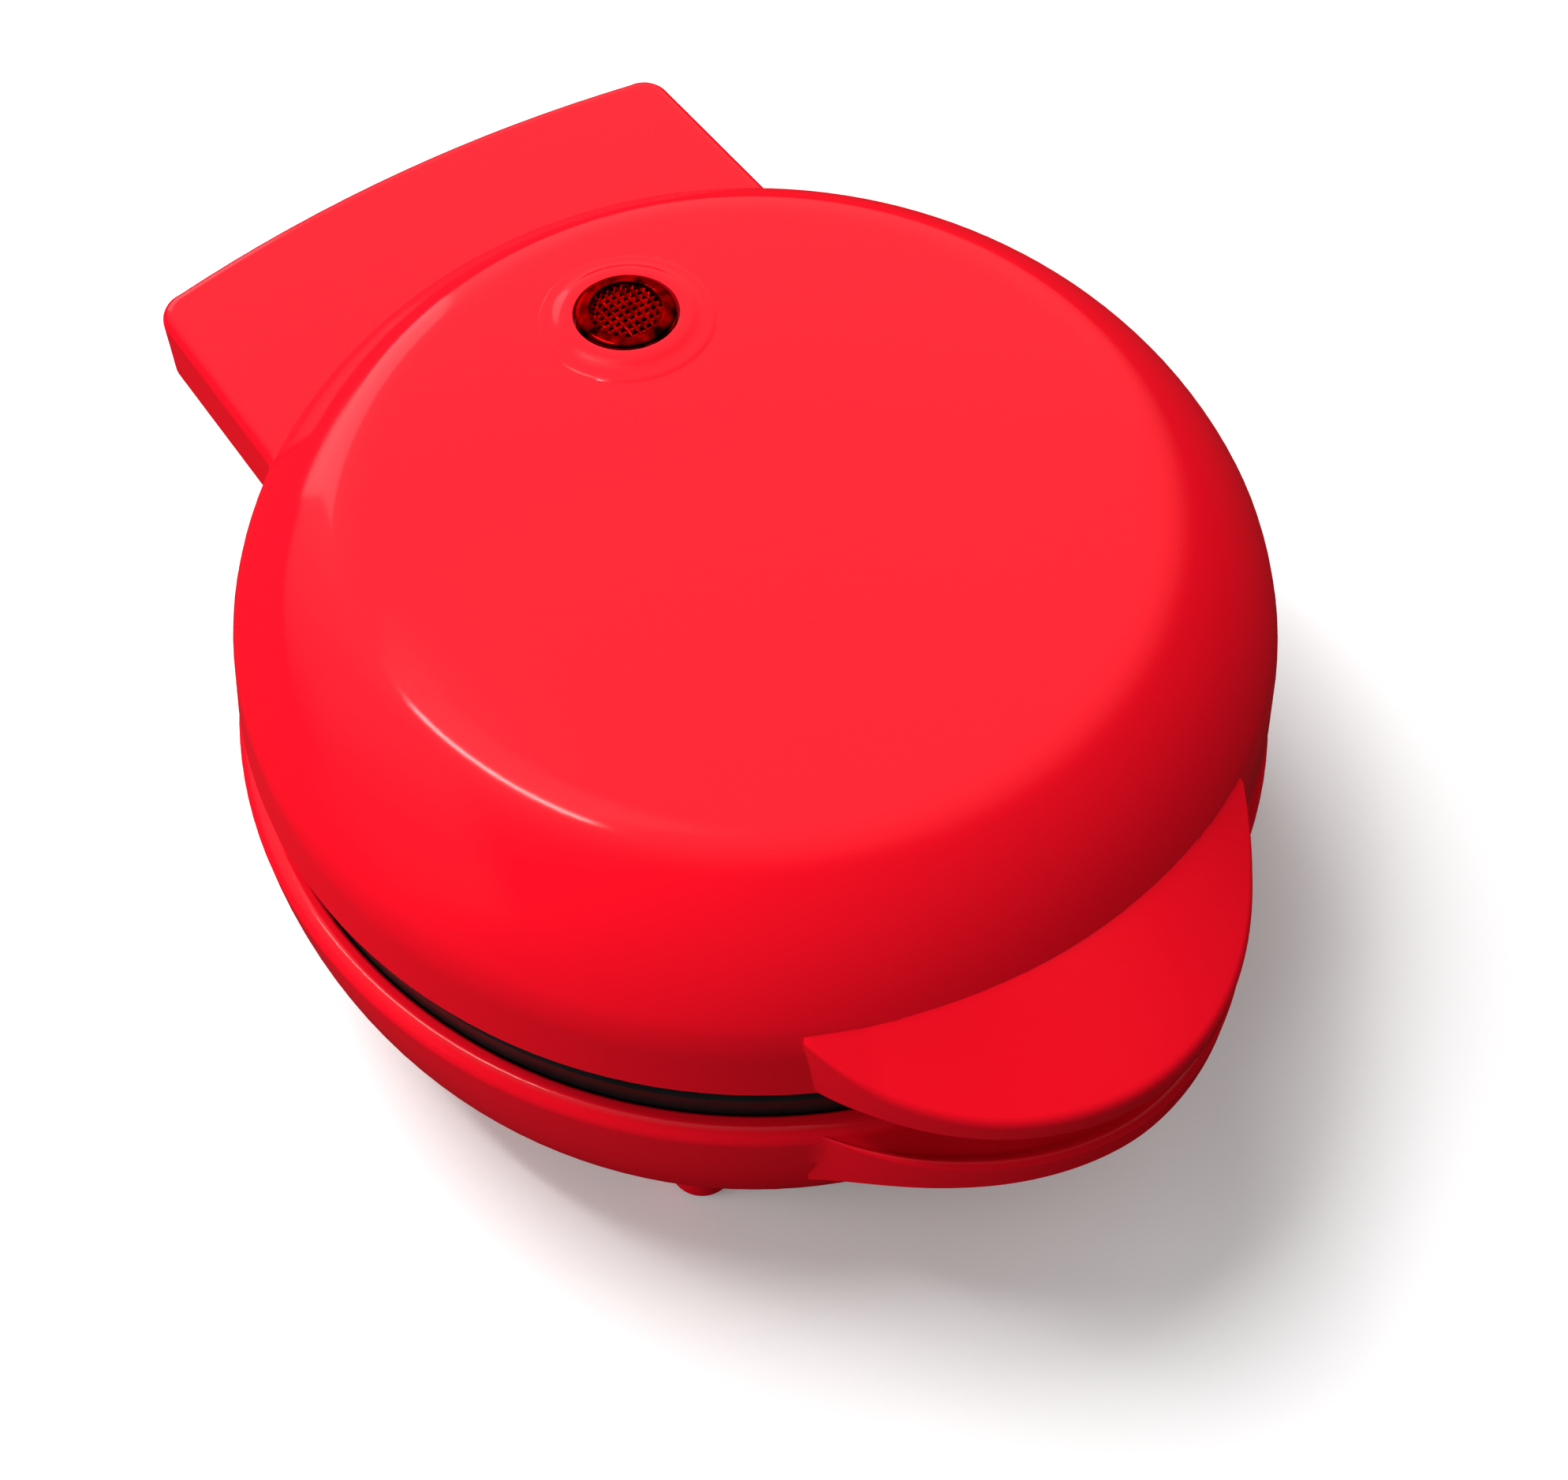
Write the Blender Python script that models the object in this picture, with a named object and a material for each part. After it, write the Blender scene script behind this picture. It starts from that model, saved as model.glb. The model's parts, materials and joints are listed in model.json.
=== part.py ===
"""Mini waffle maker: a round two-shell waffle iron with a hinged lid.

Every length is in metres, +Z is up, the carrying tab points to -Y and the hinge is at +Y.
The shells are worked out about the axis of the round body. The whole model is then moved
along Y, so that the origin lies under the middle of its box, on the surface it stands on.
"""

import math

import bmesh
import bpy
from mathutils import Matrix, Vector

# Driving dimensions
LID_RADIUS = 0.068
LID_RIM_Z = 0.0513
SKIRT_TOP_Z = 0.0613
SKIRT_DRAFT = 0.0012
CROWN_RADIUS = 0.0507
CROWN_Z = 0.0784
DOME_RISE = 0.0016
SHOULDER_BULGE = 0.0019
SKIRT_ROUND = 0.006
CROWN_ROUND = 0.008
WALL = 0.0022

BASE_RADIUS = 0.0696
BASE_RIM_Z = 0.042
BASE_FLOOR_RADIUS = 0.0516
BASE_FLOOR_Z = 0.004
BASE_FLOOR_CUT = 0.0017
BASE_BOWL_DEPTH = BASE_RIM_Z - BASE_FLOOR_Z + BASE_FLOOR_CUT
BASE_RIM_ROUND = 0.0022
BASE_RIM_WIDTH = 0.0032

PARTING_Z = 0.0466
PLATE_SPLIT = 0.0006
GRID_RADIUS = 0.0500
GRID_DEPTH = 0.0078
PEG_PITCH = 0.0155
PEG_HEIGHT = 0.0057
PLATE_FLOOR = 0.003

HINGE_Y = 0.078
HINGE_Z = 0.0545
HINGE_PIN_RADIUS = 0.0019

# Clearances and overruns
FIT = 0.0003
OVERRUN = 0.002
BURIED = 0.0015

# Roundness of the turned pieces
ROUND_STEPS = 48
PLATE_STEPS = 40
SHIELD_STEPS = 32
MEDIUM_STEPS = 24
SMALL_STEPS = 12
BOSS_STEPS = 28
POST_STEPS = 14


def clear_scene():
    for old in list(bpy.data.objects):
        bpy.data.objects.remove(old, do_unlink=True)


def material(name, colour, roughness, metallic=0.0, transmission=0.0):
    made = bpy.data.materials.new(name)
    made.use_nodes = True
    made.diffuse_color = (*colour, 1)
    shader = made.node_tree.nodes["Principled BSDF"]
    shader.inputs["Base Color"].default_value = (*colour, 1)
    shader.inputs["Roughness"].default_value = roughness
    shader.inputs["Metallic"].default_value = metallic
    shader.inputs["Transmission Weight"].default_value = transmission
    return made


def smooth(mesh):
    mesh.shade_smooth()
    mesh.set_sharp_from_angle(angle=math.radians(30))


def solid(name, bm, finish=None):
    """Turns a bmesh into an object with its faces pointing out."""
    bmesh.ops.recalc_face_normals(bm, faces=bm.faces)
    mesh = bpy.data.meshes.new(name)
    bm.to_mesh(mesh)
    bm.free()
    smooth(mesh)
    obj = bpy.data.objects.new(name, mesh)
    bpy.context.scene.collection.objects.link(obj)
    if finish:
        mesh.materials.append(finish)
    return obj


def turned(name, profile, finish=None, steps=ROUND_STEPS, at=(0, 0), along="Z"):
    """Spins a closed profile of (radius, height) points about an upright axis."""
    bm = bmesh.new()
    corners = [bm.verts.new((radius, 0, height)) for radius, height in profile]
    pairs = zip(corners, corners[1:] + corners[:1])
    edges = [bm.edges.new(pair) for pair in pairs if pair[0].co.x or pair[1].co.x]
    bmesh.ops.spin(
        bm, geom=corners + edges, cent=(0, 0, 0), axis=(0, 0, 1),
        angle=math.tau, steps=steps, use_merge=True,
    )
    bmesh.ops.remove_doubles(bm, verts=bm.verts, dist=FIT / 100)
    if along == "X":
        bmesh.ops.rotate(bm, verts=bm.verts, matrix=Matrix.Rotation(math.pi / 2, 3, "Y"))
    if along == "Y":
        bmesh.ops.rotate(bm, verts=bm.verts, matrix=Matrix.Rotation(-math.pi / 2, 3, "X"))
    place = Vector((at[0], at[1], at[2] if len(at) > 2 else 0))
    bmesh.ops.translate(bm, verts=bm.verts, vec=place)
    return solid(name, bm, finish)


def rod(name, radius, low, high, finish=None, steps=MEDIUM_STEPS, at=(0, 0), along="Z"):
    """A plain round bar from low to high along its axis."""
    return turned(name, [(0, high), (radius, high), (radius, low), (0, low)], finish, steps, at, along)


def lofted(name, rings, finish=None):
    """Joins closed rings of points, one after another, and caps both ends."""
    bm = bmesh.new()
    rows = [[bm.verts.new(point) for point in ring] for ring in rings]
    for lower, upper in zip(rows, rows[1:]):
        for i in range(len(lower)):
            j = (i + 1) % len(lower)
            bm.faces.new((lower[i], lower[j], upper[j], upper[i]))
    bm.faces.new(rows[0])
    bm.faces.new(rows[-1])
    return solid(name, bm, finish)


def block(name, low, high, finish=None):
    """A box between two corners."""
    bottom = [(low[0], low[1]), (high[0], low[1]), (high[0], high[1]), (low[0], high[1])]
    return lofted(name, [[(x, y, z) for x, y in bottom] for z in (low[2], high[2])], finish)


def helper(obj):
    """Keeps a cutter, or a shape that another solid takes up, out of the model itself."""
    obj.hide_render = True
    obj.display_type = "WIRE"
    return obj


def combine(target, other, operation):
    step = target.modifiers.new(operation.lower(), "BOOLEAN")
    step.operation = operation
    step.object = helper(other)
    step.solver = "EXACT"
    return target


def add(target, other):
    return combine(target, other, "UNION")


def cut(target, other):
    return combine(target, other, "DIFFERENCE")


def keep_inside(target, other):
    return combine(target, other, "INTERSECT")


def arc(centre, radius, start, end, count):
    """Points on an arc in the (radius, height) plane, with angles in degrees."""
    turns = [math.radians(start + (end - start) * i / (count - 1)) for i in range(count)]
    return [(centre[0] + radius * math.cos(a), centre[1] + radius * math.sin(a)) for a in turns]


def rounded(points, radii, count=4):
    """Replaces inner corners of an open line by arcs of the given radii."""
    made = [points[0]]
    for before, corner, after, radius in zip(points, points[1:], points[2:], radii):
        here = Vector(corner)
        back = (Vector(before) - here).normalized()
        ahead = (Vector(after) - here).normalized()
        half = back.angle(ahead) / 2
        if not radius or half > math.radians(89):
            made.append(corner)
            continue
        reach = radius / math.tan(half)
        middle = here + (back + ahead).normalized() * radius / math.sin(half)
        first, last = here + back * reach - middle, here + ahead * reach - middle
        for i in range(count + 1):
            share = i / count
            spoke = first.lerp(last, share).normalized() * radius
            made.append(tuple(middle + spoke))
    return made + [points[-1]]


def shifted(points, distance):
    """Moves an open line sideways to its right by a distance, with mitred corners."""
    made = []
    for i, point in enumerate(points):
        before = Vector(points[max(i - 1, 0)])
        here = Vector(point)
        after = Vector(points[min(i + 1, len(points) - 1)])
        sides = []
        for run in (here - before, after - here):
            if run.length:
                run.normalize()
                sides.append(Vector((run.y, -run.x)))
        normal = (sides[0] + sides[-1]).normalized()
        made.append(tuple(here + normal * distance / max(normal.dot(sides[0]), 0.5)))
    return made


clear_scene()

# Finishes, with the colours of the real mouldings
RED = material("red_moulding", (0.80, 0.011, 0.020), 0.32)
BLACK_PLATE = material("nonstick_coating", (0.022, 0.022, 0.022), 0.42)
LENS_RED = material("lens_red", (0.30, 0.002, 0.004), 0.10, transmission=0.4)
RUBBER = material("foot_rubber", (0.035, 0.033, 0.032), 0.80)
STEEL = material("bright_steel", (0.62, 0.62, 0.62), 0.30, metallic=1.0)
ELEMENT = material("element_sheath", (0.20, 0.21, 0.20), 0.50, metallic=0.8)
SHIELD = material("aluminised_sheet", (0.70, 0.70, 0.71), 0.38, metallic=1.0)
CERAMIC = material("ceramic", (0.82, 0.80, 0.74), 0.55)
LAMP_GLASS = material("lamp_glass", (0.85, 0.55, 0.40), 0.08, transmission=0.8)
DARK_NYLON = material("dark_nylon", (0.030, 0.030, 0.032), 0.55)
LEAD = material("lead_insulation", (0.86, 0.84, 0.80), 0.60)


# The lid's skin, from its rim up to the top of the dome

SKIRT_TOP_RADIUS = LID_RADIUS - SKIRT_DRAFT
DOME_TOP_Z = CROWN_Z + DOME_RISE
SHOULDER_POINTS = 6
DOME_POINTS = 3


def shoulder_line():
    """Points of the bulging shoulder between the skirt and the crown."""
    foot, head = Vector((SKIRT_TOP_RADIUS, SKIRT_TOP_Z)), Vector((CROWN_RADIUS, CROWN_Z))
    chord = head - foot
    outward = Vector((chord.y, -chord.x)).normalized()
    made = []
    for i in range(1, SHOULDER_POINTS):
        share = i / SHOULDER_POINTS
        made.append(tuple(foot + chord * share + outward * SHOULDER_BULGE * 4 * share * (1 - share)))
    return made


def lid_line():
    """The outer line of the lid as (radius, height) points, from the rim to the axis."""
    shoulder = shoulder_line()
    dome = []
    for i in range(DOME_POINTS):
        share = 1 - (i + 1) / DOME_POINTS
        dome.append((CROWN_RADIUS * share, CROWN_Z + DOME_RISE * (1 - share * share)))
    foot = [(LID_RADIUS, LID_RIM_Z), (SKIRT_TOP_RADIUS, SKIRT_TOP_Z)]
    corners = foot + shoulder + [(CROWN_RADIUS, CROWN_Z)] + dome
    radii = [SKIRT_ROUND] + [0] * len(shoulder) + [CROWN_ROUND] + [0] * DOME_POINTS
    return rounded(corners, radii, count=3)


def lid_solid(name, inset, drop=0.0):
    """A solid of the lid's outer shape, drawn in all over by an inset and open-ended below."""
    line = [(max(radius, 0), height) for radius, height in shifted(lid_line(), -inset)]
    line[-1] = (0, DOME_TOP_Z - inset)
    bottom = LID_RIM_Z - drop
    line[0] = (line[0][0], bottom)
    return turned(name, [(0, bottom)] + line)


# The carrying tab of the lid and the lip of the base under it

TAB_CENTRE_X = -0.0009
TAB_CENTRE_Y = -0.04375
TAB_HALF_WIDTH = 0.0357
TAB_REACH = 0.03865
TAB_POWER = 1.92
TAB_ROOT_Z = 0.0636
TAB_CORNER_Z = 0.0620
TAB_EDGE_Z = 0.0566
TAB_FLARE = 0.0034
TAB_EDGE_ROUND = 0.0014
TAB_WALL = 0.0024

LIP_CENTRE_Y = -0.045
LIP_HALF_WIDTH = 0.0376
LIP_REACH = 0.0362
LIP_POWER = 1.87
LIP_TOP_Z = 0.0412
LIP_EDGE_THICKNESS = 0.0048
LIP_ROOT_THICKNESS = 0.0125
LIP_DISH = 0.0018
LIP_RIDGE = 0.0030

OUTLINE_STEPS = 26


def outline_stations(centre, half_width, reach, power, root_radius):
    """(angle, radius) stations of a super-ellipse outline, seen from the round body's axis."""

    def point(turn):
        x = centre[0] + half_width * abs(math.cos(turn)) ** (2 / power) * math.copysign(1, math.cos(turn))
        y = centre[1] - reach * abs(math.sin(turn)) ** (2 / power)
        return x, y

    def root(start, end):
        for _ in range(40):
            middle = (start + end) / 2
            if math.hypot(*point(middle)) < root_radius:
                start = middle
            else:
                end = middle
        return end

    first, last = root(0.0, math.pi / 2), root(math.pi, math.pi / 2)
    stations = []
    for i in range(OUTLINE_STEPS + 1):
        x, y = point(first + (last - first) * i / OUTLINE_STEPS)
        stations.append((math.atan2(y, x), math.hypot(x, y)))
    return stations


def swept_round(name, stations, section):
    """Lofts a section, given as (radius, height) points for each station, round the axis."""
    rings = []
    for angle, reach in stations:
        rings.append([(r * math.cos(angle), r * math.sin(angle), z) for r, z in section(reach)])
    return lofted(name, rings)


def tab_solid(name, inset, drop):
    """The lid's tab, or its hollow. It slopes from the skirt down to a low edge, which flares
    up again at both roots. The hollow stays outside the skirt's own wall."""
    root_radius = SKIRT_TOP_RADIUS - WALL
    inner = LID_RADIUS if inset else root_radius
    narrowest = LID_RADIUS + 2 * inset if inset else SKIRT_TOP_RADIUS

    def section(reach):
        outer = reach - inset
        flare = math.exp(-(reach - SKIRT_TOP_RADIUS) / TAB_FLARE)
        edge = TAB_EDGE_Z + (TAB_CORNER_Z - TAB_EDGE_Z) * flare
        slope = (TAB_ROOT_Z - edge) / (reach - TAB_EDGE_ROUND - root_radius)
        root = TAB_ROOT_Z - slope * (inner - root_radius) - inset
        edge -= inset
        turn = min(TAB_EDGE_ROUND, (outer - inner) / 4)
        bottom = LID_RIM_Z - drop
        return [
            (inner, bottom), (outer, bottom), (outer, edge - turn),
            (outer - turn * 0.3, edge - turn * 0.3), (outer - turn, edge), (inner, root),
        ]

    stations = outline_stations(
        (TAB_CENTRE_X, TAB_CENTRE_Y), TAB_HALF_WIDTH, TAB_REACH, TAB_POWER, narrowest
    )
    return swept_round(name, stations, section)


def lip_solid(name):
    """The base's lip: a thin edge, a dished top and an underside that runs down to the bowl."""
    wall = BASE_RADIUS - BASE_RIM_WIDTH / 2

    def section(reach):
        span = reach - wall
        ridge = min(LIP_RIDGE, span / 3)
        dish = LIP_DISH * min(1, span / (3 * LIP_RIDGE))
        flare = math.exp(-(reach - BASE_RADIUS) / LIP_EDGE_THICKNESS)
        edge = LIP_TOP_Z - LIP_EDGE_THICKNESS - (LIP_ROOT_THICKNESS - LIP_EDGE_THICKNESS) * flare
        return [
            (wall, LIP_TOP_Z - LIP_ROOT_THICKNESS), (reach, edge), (reach, LIP_TOP_Z - ridge / 4),
            (reach - ridge / 4, LIP_TOP_Z), (reach - ridge, LIP_TOP_Z - dish / 2),
            (wall, LIP_TOP_Z - dish),
        ]

    stations = outline_stations(
        (0, LIP_CENTRE_Y), LIP_HALF_WIDTH, LIP_REACH, LIP_POWER, BASE_RADIUS - BASE_RIM_WIDTH / 3
    )
    return swept_round(name, stations, section)


# The hood over the hinge

HOOD_HALF_WIDTH = 0.0423
HOOD_REAR_Y = 0.0904
HOOD_REAR_BOW = 0.0036
HOOD_TOP_Z = 0.0625
HOOD_EDGE_ROUND = 0.0025
HOOD_CORNER = 0.0035
HOOD_NECK_ROUND = 0.004


def hood_plan(inset, front):
    """The hood's plan, anticlockwise, from its left front corner: a bowed back, round corners
    and, at the front, a hollow corner where its sides meet the skirt."""
    half = HOOD_HALF_WIDTH - inset
    corner = max(HOOD_CORNER - inset, FIT)
    rear = HOOD_REAR_Y - inset
    side_y = rear - HOOD_REAR_BOW - corner
    neck = HOOD_NECK_ROUND
    neck_y = math.sqrt((SKIRT_TOP_RADIUS + neck) ** 2 - (HOOD_HALF_WIDTH + neck) ** 2)
    right = [(half, front)]
    if not inset:
        spread = math.atan2(neck_y, HOOD_HALF_WIDTH + neck)
        for i in range(4):
            turn = math.pi + spread * (1 - i / 3)
            right.append((half + neck + neck * math.cos(turn), neck_y + neck * math.sin(turn)))
    for i in range(4):
        turn = math.pi / 2 * i / 3
        right.append((half - corner + corner * math.cos(turn), side_y + corner * math.sin(turn)))
    inner_half = half - corner
    for share in (0.66, 0.33):
        x = inner_half * share
        right.append((x, rear - HOOD_REAR_BOW * share * share))
    return right + [(0, rear)] + [(-x, y) for x, y in reversed(right)]


def hood_solid(name, inset, bottom, front):
    """The hood as a solid, or its hollow, with a rounded upper edge."""
    edge = max(HOOD_EDGE_ROUND - inset, FIT)
    top = HOOD_TOP_Z - inset
    levels = [(0.0, bottom), (0.0, top - edge), (edge * 0.3, top - edge * 0.3), (edge, top)]
    rings = []
    for pull, z in levels:
        plan = hood_plan(inset, front)
        ring = []
        for x, y in plan:
            reach = max(abs(x) - pull * min(1, abs(x) / (HOOD_HALF_WIDTH / 2)), 0)
            back = y - pull if y > HOOD_REAR_Y - inset - HOOD_REAR_BOW - HOOD_CORNER else y
            ring.append((math.copysign(reach, x), back, z))
        rings.append(ring)
    return lofted(name, rings)


# The boss and hole for the indicator lens, near the back of the lid

LENS_X = 0.0024
LENS_Y = 0.0324
LENS_RADIUS = 0.0066
LENS_PROUD = 0.0007
LENS_STEM_RADIUS = 0.0056
LENS_STEM_LENGTH = 0.0085
LENS_FLANGE = 0.0016
BOSS_TOP_RADIUS = 0.0083
BOSS_FOOT_RADIUS = 0.0102
BOSS_RISE = 0.0008
LENS_WALL = 0.0012

BOSS_TOP_Z = CROWN_Z + DOME_RISE * (1 - (math.hypot(LENS_X, LENS_Y) / CROWN_RADIUS) ** 2) + BOSS_RISE
LENS_SEAT_Z = BOSS_TOP_Z - LENS_FLANGE

# The lugs of the hood that hold the hinge pins, and the arms of the base between them

ARM_OUTER_X = 0.0330
ARM_THICKNESS = 0.0052
ARM_DEPTH = 0.0085
ARM_DROP = 0.0140
ARM_NECK = 0.0040
LUG_THICKNESS = 0.0036
LUG_GAP = 0.0006
KNUCKLE_RADIUS = 0.0043
PIN_HEAD_RADIUS = 0.0030
PIN_HEAD_LENGTH = 0.0012

LUG_INNER_X = ARM_OUTER_X + LUG_GAP
LUG_OUTER_X = LUG_INNER_X + LUG_THICKNESS
ARM_INNER_X = ARM_OUTER_X - ARM_THICKNESS

# Screw posts

SCREW_RADIUS = 0.0015
SCREW_HEAD_RADIUS = 0.0028
SCREW_HEAD_LENGTH = 0.0016
LID_SCREW_LENGTH = 0.0085
BASE_SCREW_LENGTH = 0.0110
SCREW_SEAT_DEPTH = 0.0030
POST_RADIUS = 0.0042
LID_POST_RADIUS = 0.0034
LID_POST_PLACE_RADIUS = 0.0593
LID_POST_ANGLES = (30, 150, 270)
BASE_POST_PLACE_RADIUS = 0.0430
BASE_POST_ANGLES = (90, 210, 330)

FLANGE_THICKNESS = 0.0033
PLATE_TOP_Z = PARTING_Z - PLATE_SPLIT / 2
PLATE_GROOVE_Z = PLATE_TOP_Z - GRID_DEPTH
PLATE_UNDER_Z = PLATE_GROOVE_Z - PLATE_FLOOR
LID_FLANGE_BACK_Z = 2 * PARTING_Z - (PLATE_TOP_Z - FLANGE_THICKNESS)
WIRE_SLOT_HALF_WIDTH = 0.009
WIRE_SLOT_HEIGHT = 0.006


def around(radius, degrees):
    turn = math.radians(degrees)
    return radius * math.cos(turn), radius * math.sin(turn)


def lug_plan():
    """The lug's outline in (y, z): a round eye hanging from the hood's roof."""
    roof = HOOD_TOP_Z - WALL / 2
    eye = arc((HINGE_Y, HINGE_Z), KNUCKLE_RADIUS, 180, 360, 9)
    return [(HINGE_Y - KNUCKLE_RADIUS, roof)] + eye + [(HINGE_Y + KNUCKLE_RADIUS, roof)]


def extruded_x(name, plan, low_x, high_x, finish=None):
    """A plate with a (y, z) outline, as thick as the run from low_x to high_x."""
    return lofted(name, [[(x, y, z) for y, z in plan] for x in (low_x, high_x)], finish)


def make_lid_shell():
    """The lid: dome, skirt, tab and hood in one moulding of even wall, open below."""
    shell = lid_solid("lid_shell", 0.0)
    shell.data.materials.append(RED)
    add(shell, tab_solid("lid_tab_outside", 0.0, 0.0))
    add(shell, hood_solid("lid_hood_outside", 0.0, LID_RIM_Z, 0.0))
    add(shell, turned(
        "lens_boss",
        [(0, CROWN_Z), (BOSS_FOOT_RADIUS, CROWN_Z), (BOSS_FOOT_RADIUS, BOSS_TOP_Z - BOSS_RISE),
         (BOSS_TOP_RADIUS, BOSS_TOP_Z - BOSS_RISE * 0.15), (BOSS_TOP_RADIUS - BOSS_RISE, BOSS_TOP_Z),
         (0, BOSS_TOP_Z)],
        steps=BOSS_STEPS, at=(LENS_X, LENS_Y),
    ))
    cut(shell, lid_solid("lid_inside", WALL, OVERRUN))
    hood_hollow = hood_solid("hood_inside", WALL, LID_RIM_Z - OVERRUN, 0.0)
    cut(hood_hollow, lid_solid("hood_hollow_front", -FIT, 2 * OVERRUN))
    cut(shell, hood_hollow)
    cut(shell, tab_solid("tab_inside", TAB_WALL, OVERRUN))
    core = lid_solid("lid_core", WALL * 0.4)
    for i, degrees in enumerate(LID_POST_ANGLES):
        x, y = around(LID_POST_PLACE_RADIUS, degrees)
        post = rod(f"lid_post_{i + 1}", LID_POST_RADIUS, LID_FLANGE_BACK_Z + FIT, CROWN_Z,
                   steps=POST_STEPS, at=(x, y))
        add(shell, keep_inside(post, core))
        hole_top = LID_FLANGE_BACK_Z + LID_SCREW_LENGTH
        cut(shell, rod(f"lid_post_hole_{i + 1}", SCREW_RADIUS + FIT, LID_RIM_Z - OVERRUN, hole_top,
                       steps=POST_STEPS, at=(x, y)))
    for side, sign in (("left", -1), ("right", 1)):
        add(shell, extruded_x(f"lug_{side}", lug_plan(), sign * LUG_INNER_X, sign * LUG_OUTER_X))
    cut(shell, rod("lug_bore", HINGE_PIN_RADIUS + FIT, -LUG_OUTER_X - OVERRUN, LUG_OUTER_X + OVERRUN,
                   steps=SMALL_STEPS, at=(0, HINGE_Y, HINGE_Z), along="X"))
    seat = LENS_SEAT_Z
    cut(shell, turned(
        "lens_hole",
        [(0, seat - 4 * WALL), (LENS_STEM_RADIUS + FIT, seat - 4 * WALL), (LENS_STEM_RADIUS + FIT, seat),
         (LENS_RADIUS + FIT, seat), (LENS_RADIUS + FIT, BOSS_TOP_Z + OVERRUN), (0, BOSS_TOP_Z + OVERRUN)],
        steps=MEDIUM_STEPS, at=(LENS_X, LENS_Y),
    ))
    slot = WIRE_SLOT_HALF_WIDTH
    cut(shell, block("wire_slot", (-slot, LID_RADIUS - 2 * WALL, LID_RIM_Z - OVERRUN),
                     (slot, LID_RADIUS + WALL, LID_RIM_Z + WIRE_SLOT_HEIGHT)))
    return shell


# The base bowl

FOOT_RADIUS = 0.0045
FOOT_PLACE_RADIUS = 0.0560
FOOT_ANGLE = 48
PAD_RADIUS = 0.0032
PAD_SINK = 0.0010
PAD_PROUD = 0.0005
LEDGE_WIDTH = 0.0030
LEDGE_HEIGHT = 0.0030
PLATE_WALL_DEPTH = 0.0086
GLAND_Z = 0.0215
GLAND_BODY_RADIUS = 0.0048
GLAND_BORE_RADIUS = 0.0032
GLAND_FLANGE_RADIUS = 0.0068
GLAND_FLANGE = 0.0018
GLAND_LENGTH = 0.0100
GLAND_BARB_RADIUS = 0.0058
GLAND_BARB_LENGTH = 0.0012
GLAND_BOSS_RADIUS = 0.0085
GLAND_FACE_Y = 0.0700
VENT_COUNT = 5
VENT_PITCH = 0.0066
VENT_WIDTH = 0.0024
VENT_LENGTH = 0.022
BOWL_POINTS = 8

LEDGE_Z = PLATE_TOP_Z - PLATE_WALL_DEPTH - FIT
FOOT_PLACES = [around(FOOT_PLACE_RADIUS, turn) for turn in (180 + FOOT_ANGLE, -FOOT_ANGLE, 180 - FOOT_ANGLE, FOOT_ANGLE)]
FOOT_NAMES = ("front_left", "front_right", "rear_left", "rear_right")


def bowl_line():
    """The outer line of the base, from its flat floor up to the top of the rim."""
    across = BASE_RADIUS - BASE_FLOOR_RADIUS
    lowest = math.degrees(math.asin((BASE_RIM_Z - BASE_FLOOR_Z) / BASE_BOWL_DEPTH))
    made = []
    for i in range(BOWL_POINTS):
        turn = math.radians(-lowest * (1 - i / (BOWL_POINTS - 1)))
        x = BASE_FLOOR_RADIUS + across * math.cos(turn)
        made.append((x, BASE_RIM_Z + BASE_BOWL_DEPTH * math.sin(turn)))
    made[-1] = (BASE_RADIUS, BASE_RIM_Z - BASE_RIM_ROUND)
    return made


def rim_line():
    """The rounded outer edge of the rim."""
    turn = BASE_RIM_ROUND
    return arc((BASE_RADIUS - turn, BASE_RIM_Z - turn), turn, 0, 90, 5)[1:]


def base_inside():
    """The hollow of the bowl, under the ledge that carries the lower plate."""
    wall = [(r, z) for r, z in shifted(bowl_line(), -WALL) if z < LEDGE_Z - LEDGE_HEIGHT]
    wall[0] = (wall[0][0], BASE_FLOOR_Z + WALL)
    ledge = BASE_RADIUS - BASE_RIM_WIDTH - LEDGE_WIDTH
    return wall + [(wall[-1][0], LEDGE_Z - LEDGE_HEIGHT), (ledge, LEDGE_Z - LEDGE_HEIGHT / 3), (ledge, LEDGE_Z)]


def arm_plan():
    """The arm's outline in (y, z): a gusset on the bowl's rear wall that passes under the
    lid's skirt and ends in the hinge eye, inside the hood."""
    front_y = math.sqrt((BASE_RADIUS - BASE_RIM_WIDTH) ** 2 - ARM_INNER_X ** 2) + FIT
    clear_y = math.sqrt(LID_RADIUS ** 2 - ARM_INNER_X ** 2) + OVERRUN
    low_z = BASE_RIM_Z - ARM_DROP
    eye = arc((HINGE_Y, HINGE_Z), KNUCKLE_RADIUS, 120, -60, 9)
    return (
        [(front_y, low_z), (front_y, BASE_RIM_Z + OVERRUN), (clear_y, LID_RIM_Z - 4 * FIT)]
        + eye
        + [(HINGE_Y - ARM_NECK, HINGE_Z - ARM_NECK - FIT), (front_y + ARM_DEPTH, BASE_RIM_Z), (front_y + FIT, low_z)]
    )


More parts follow.
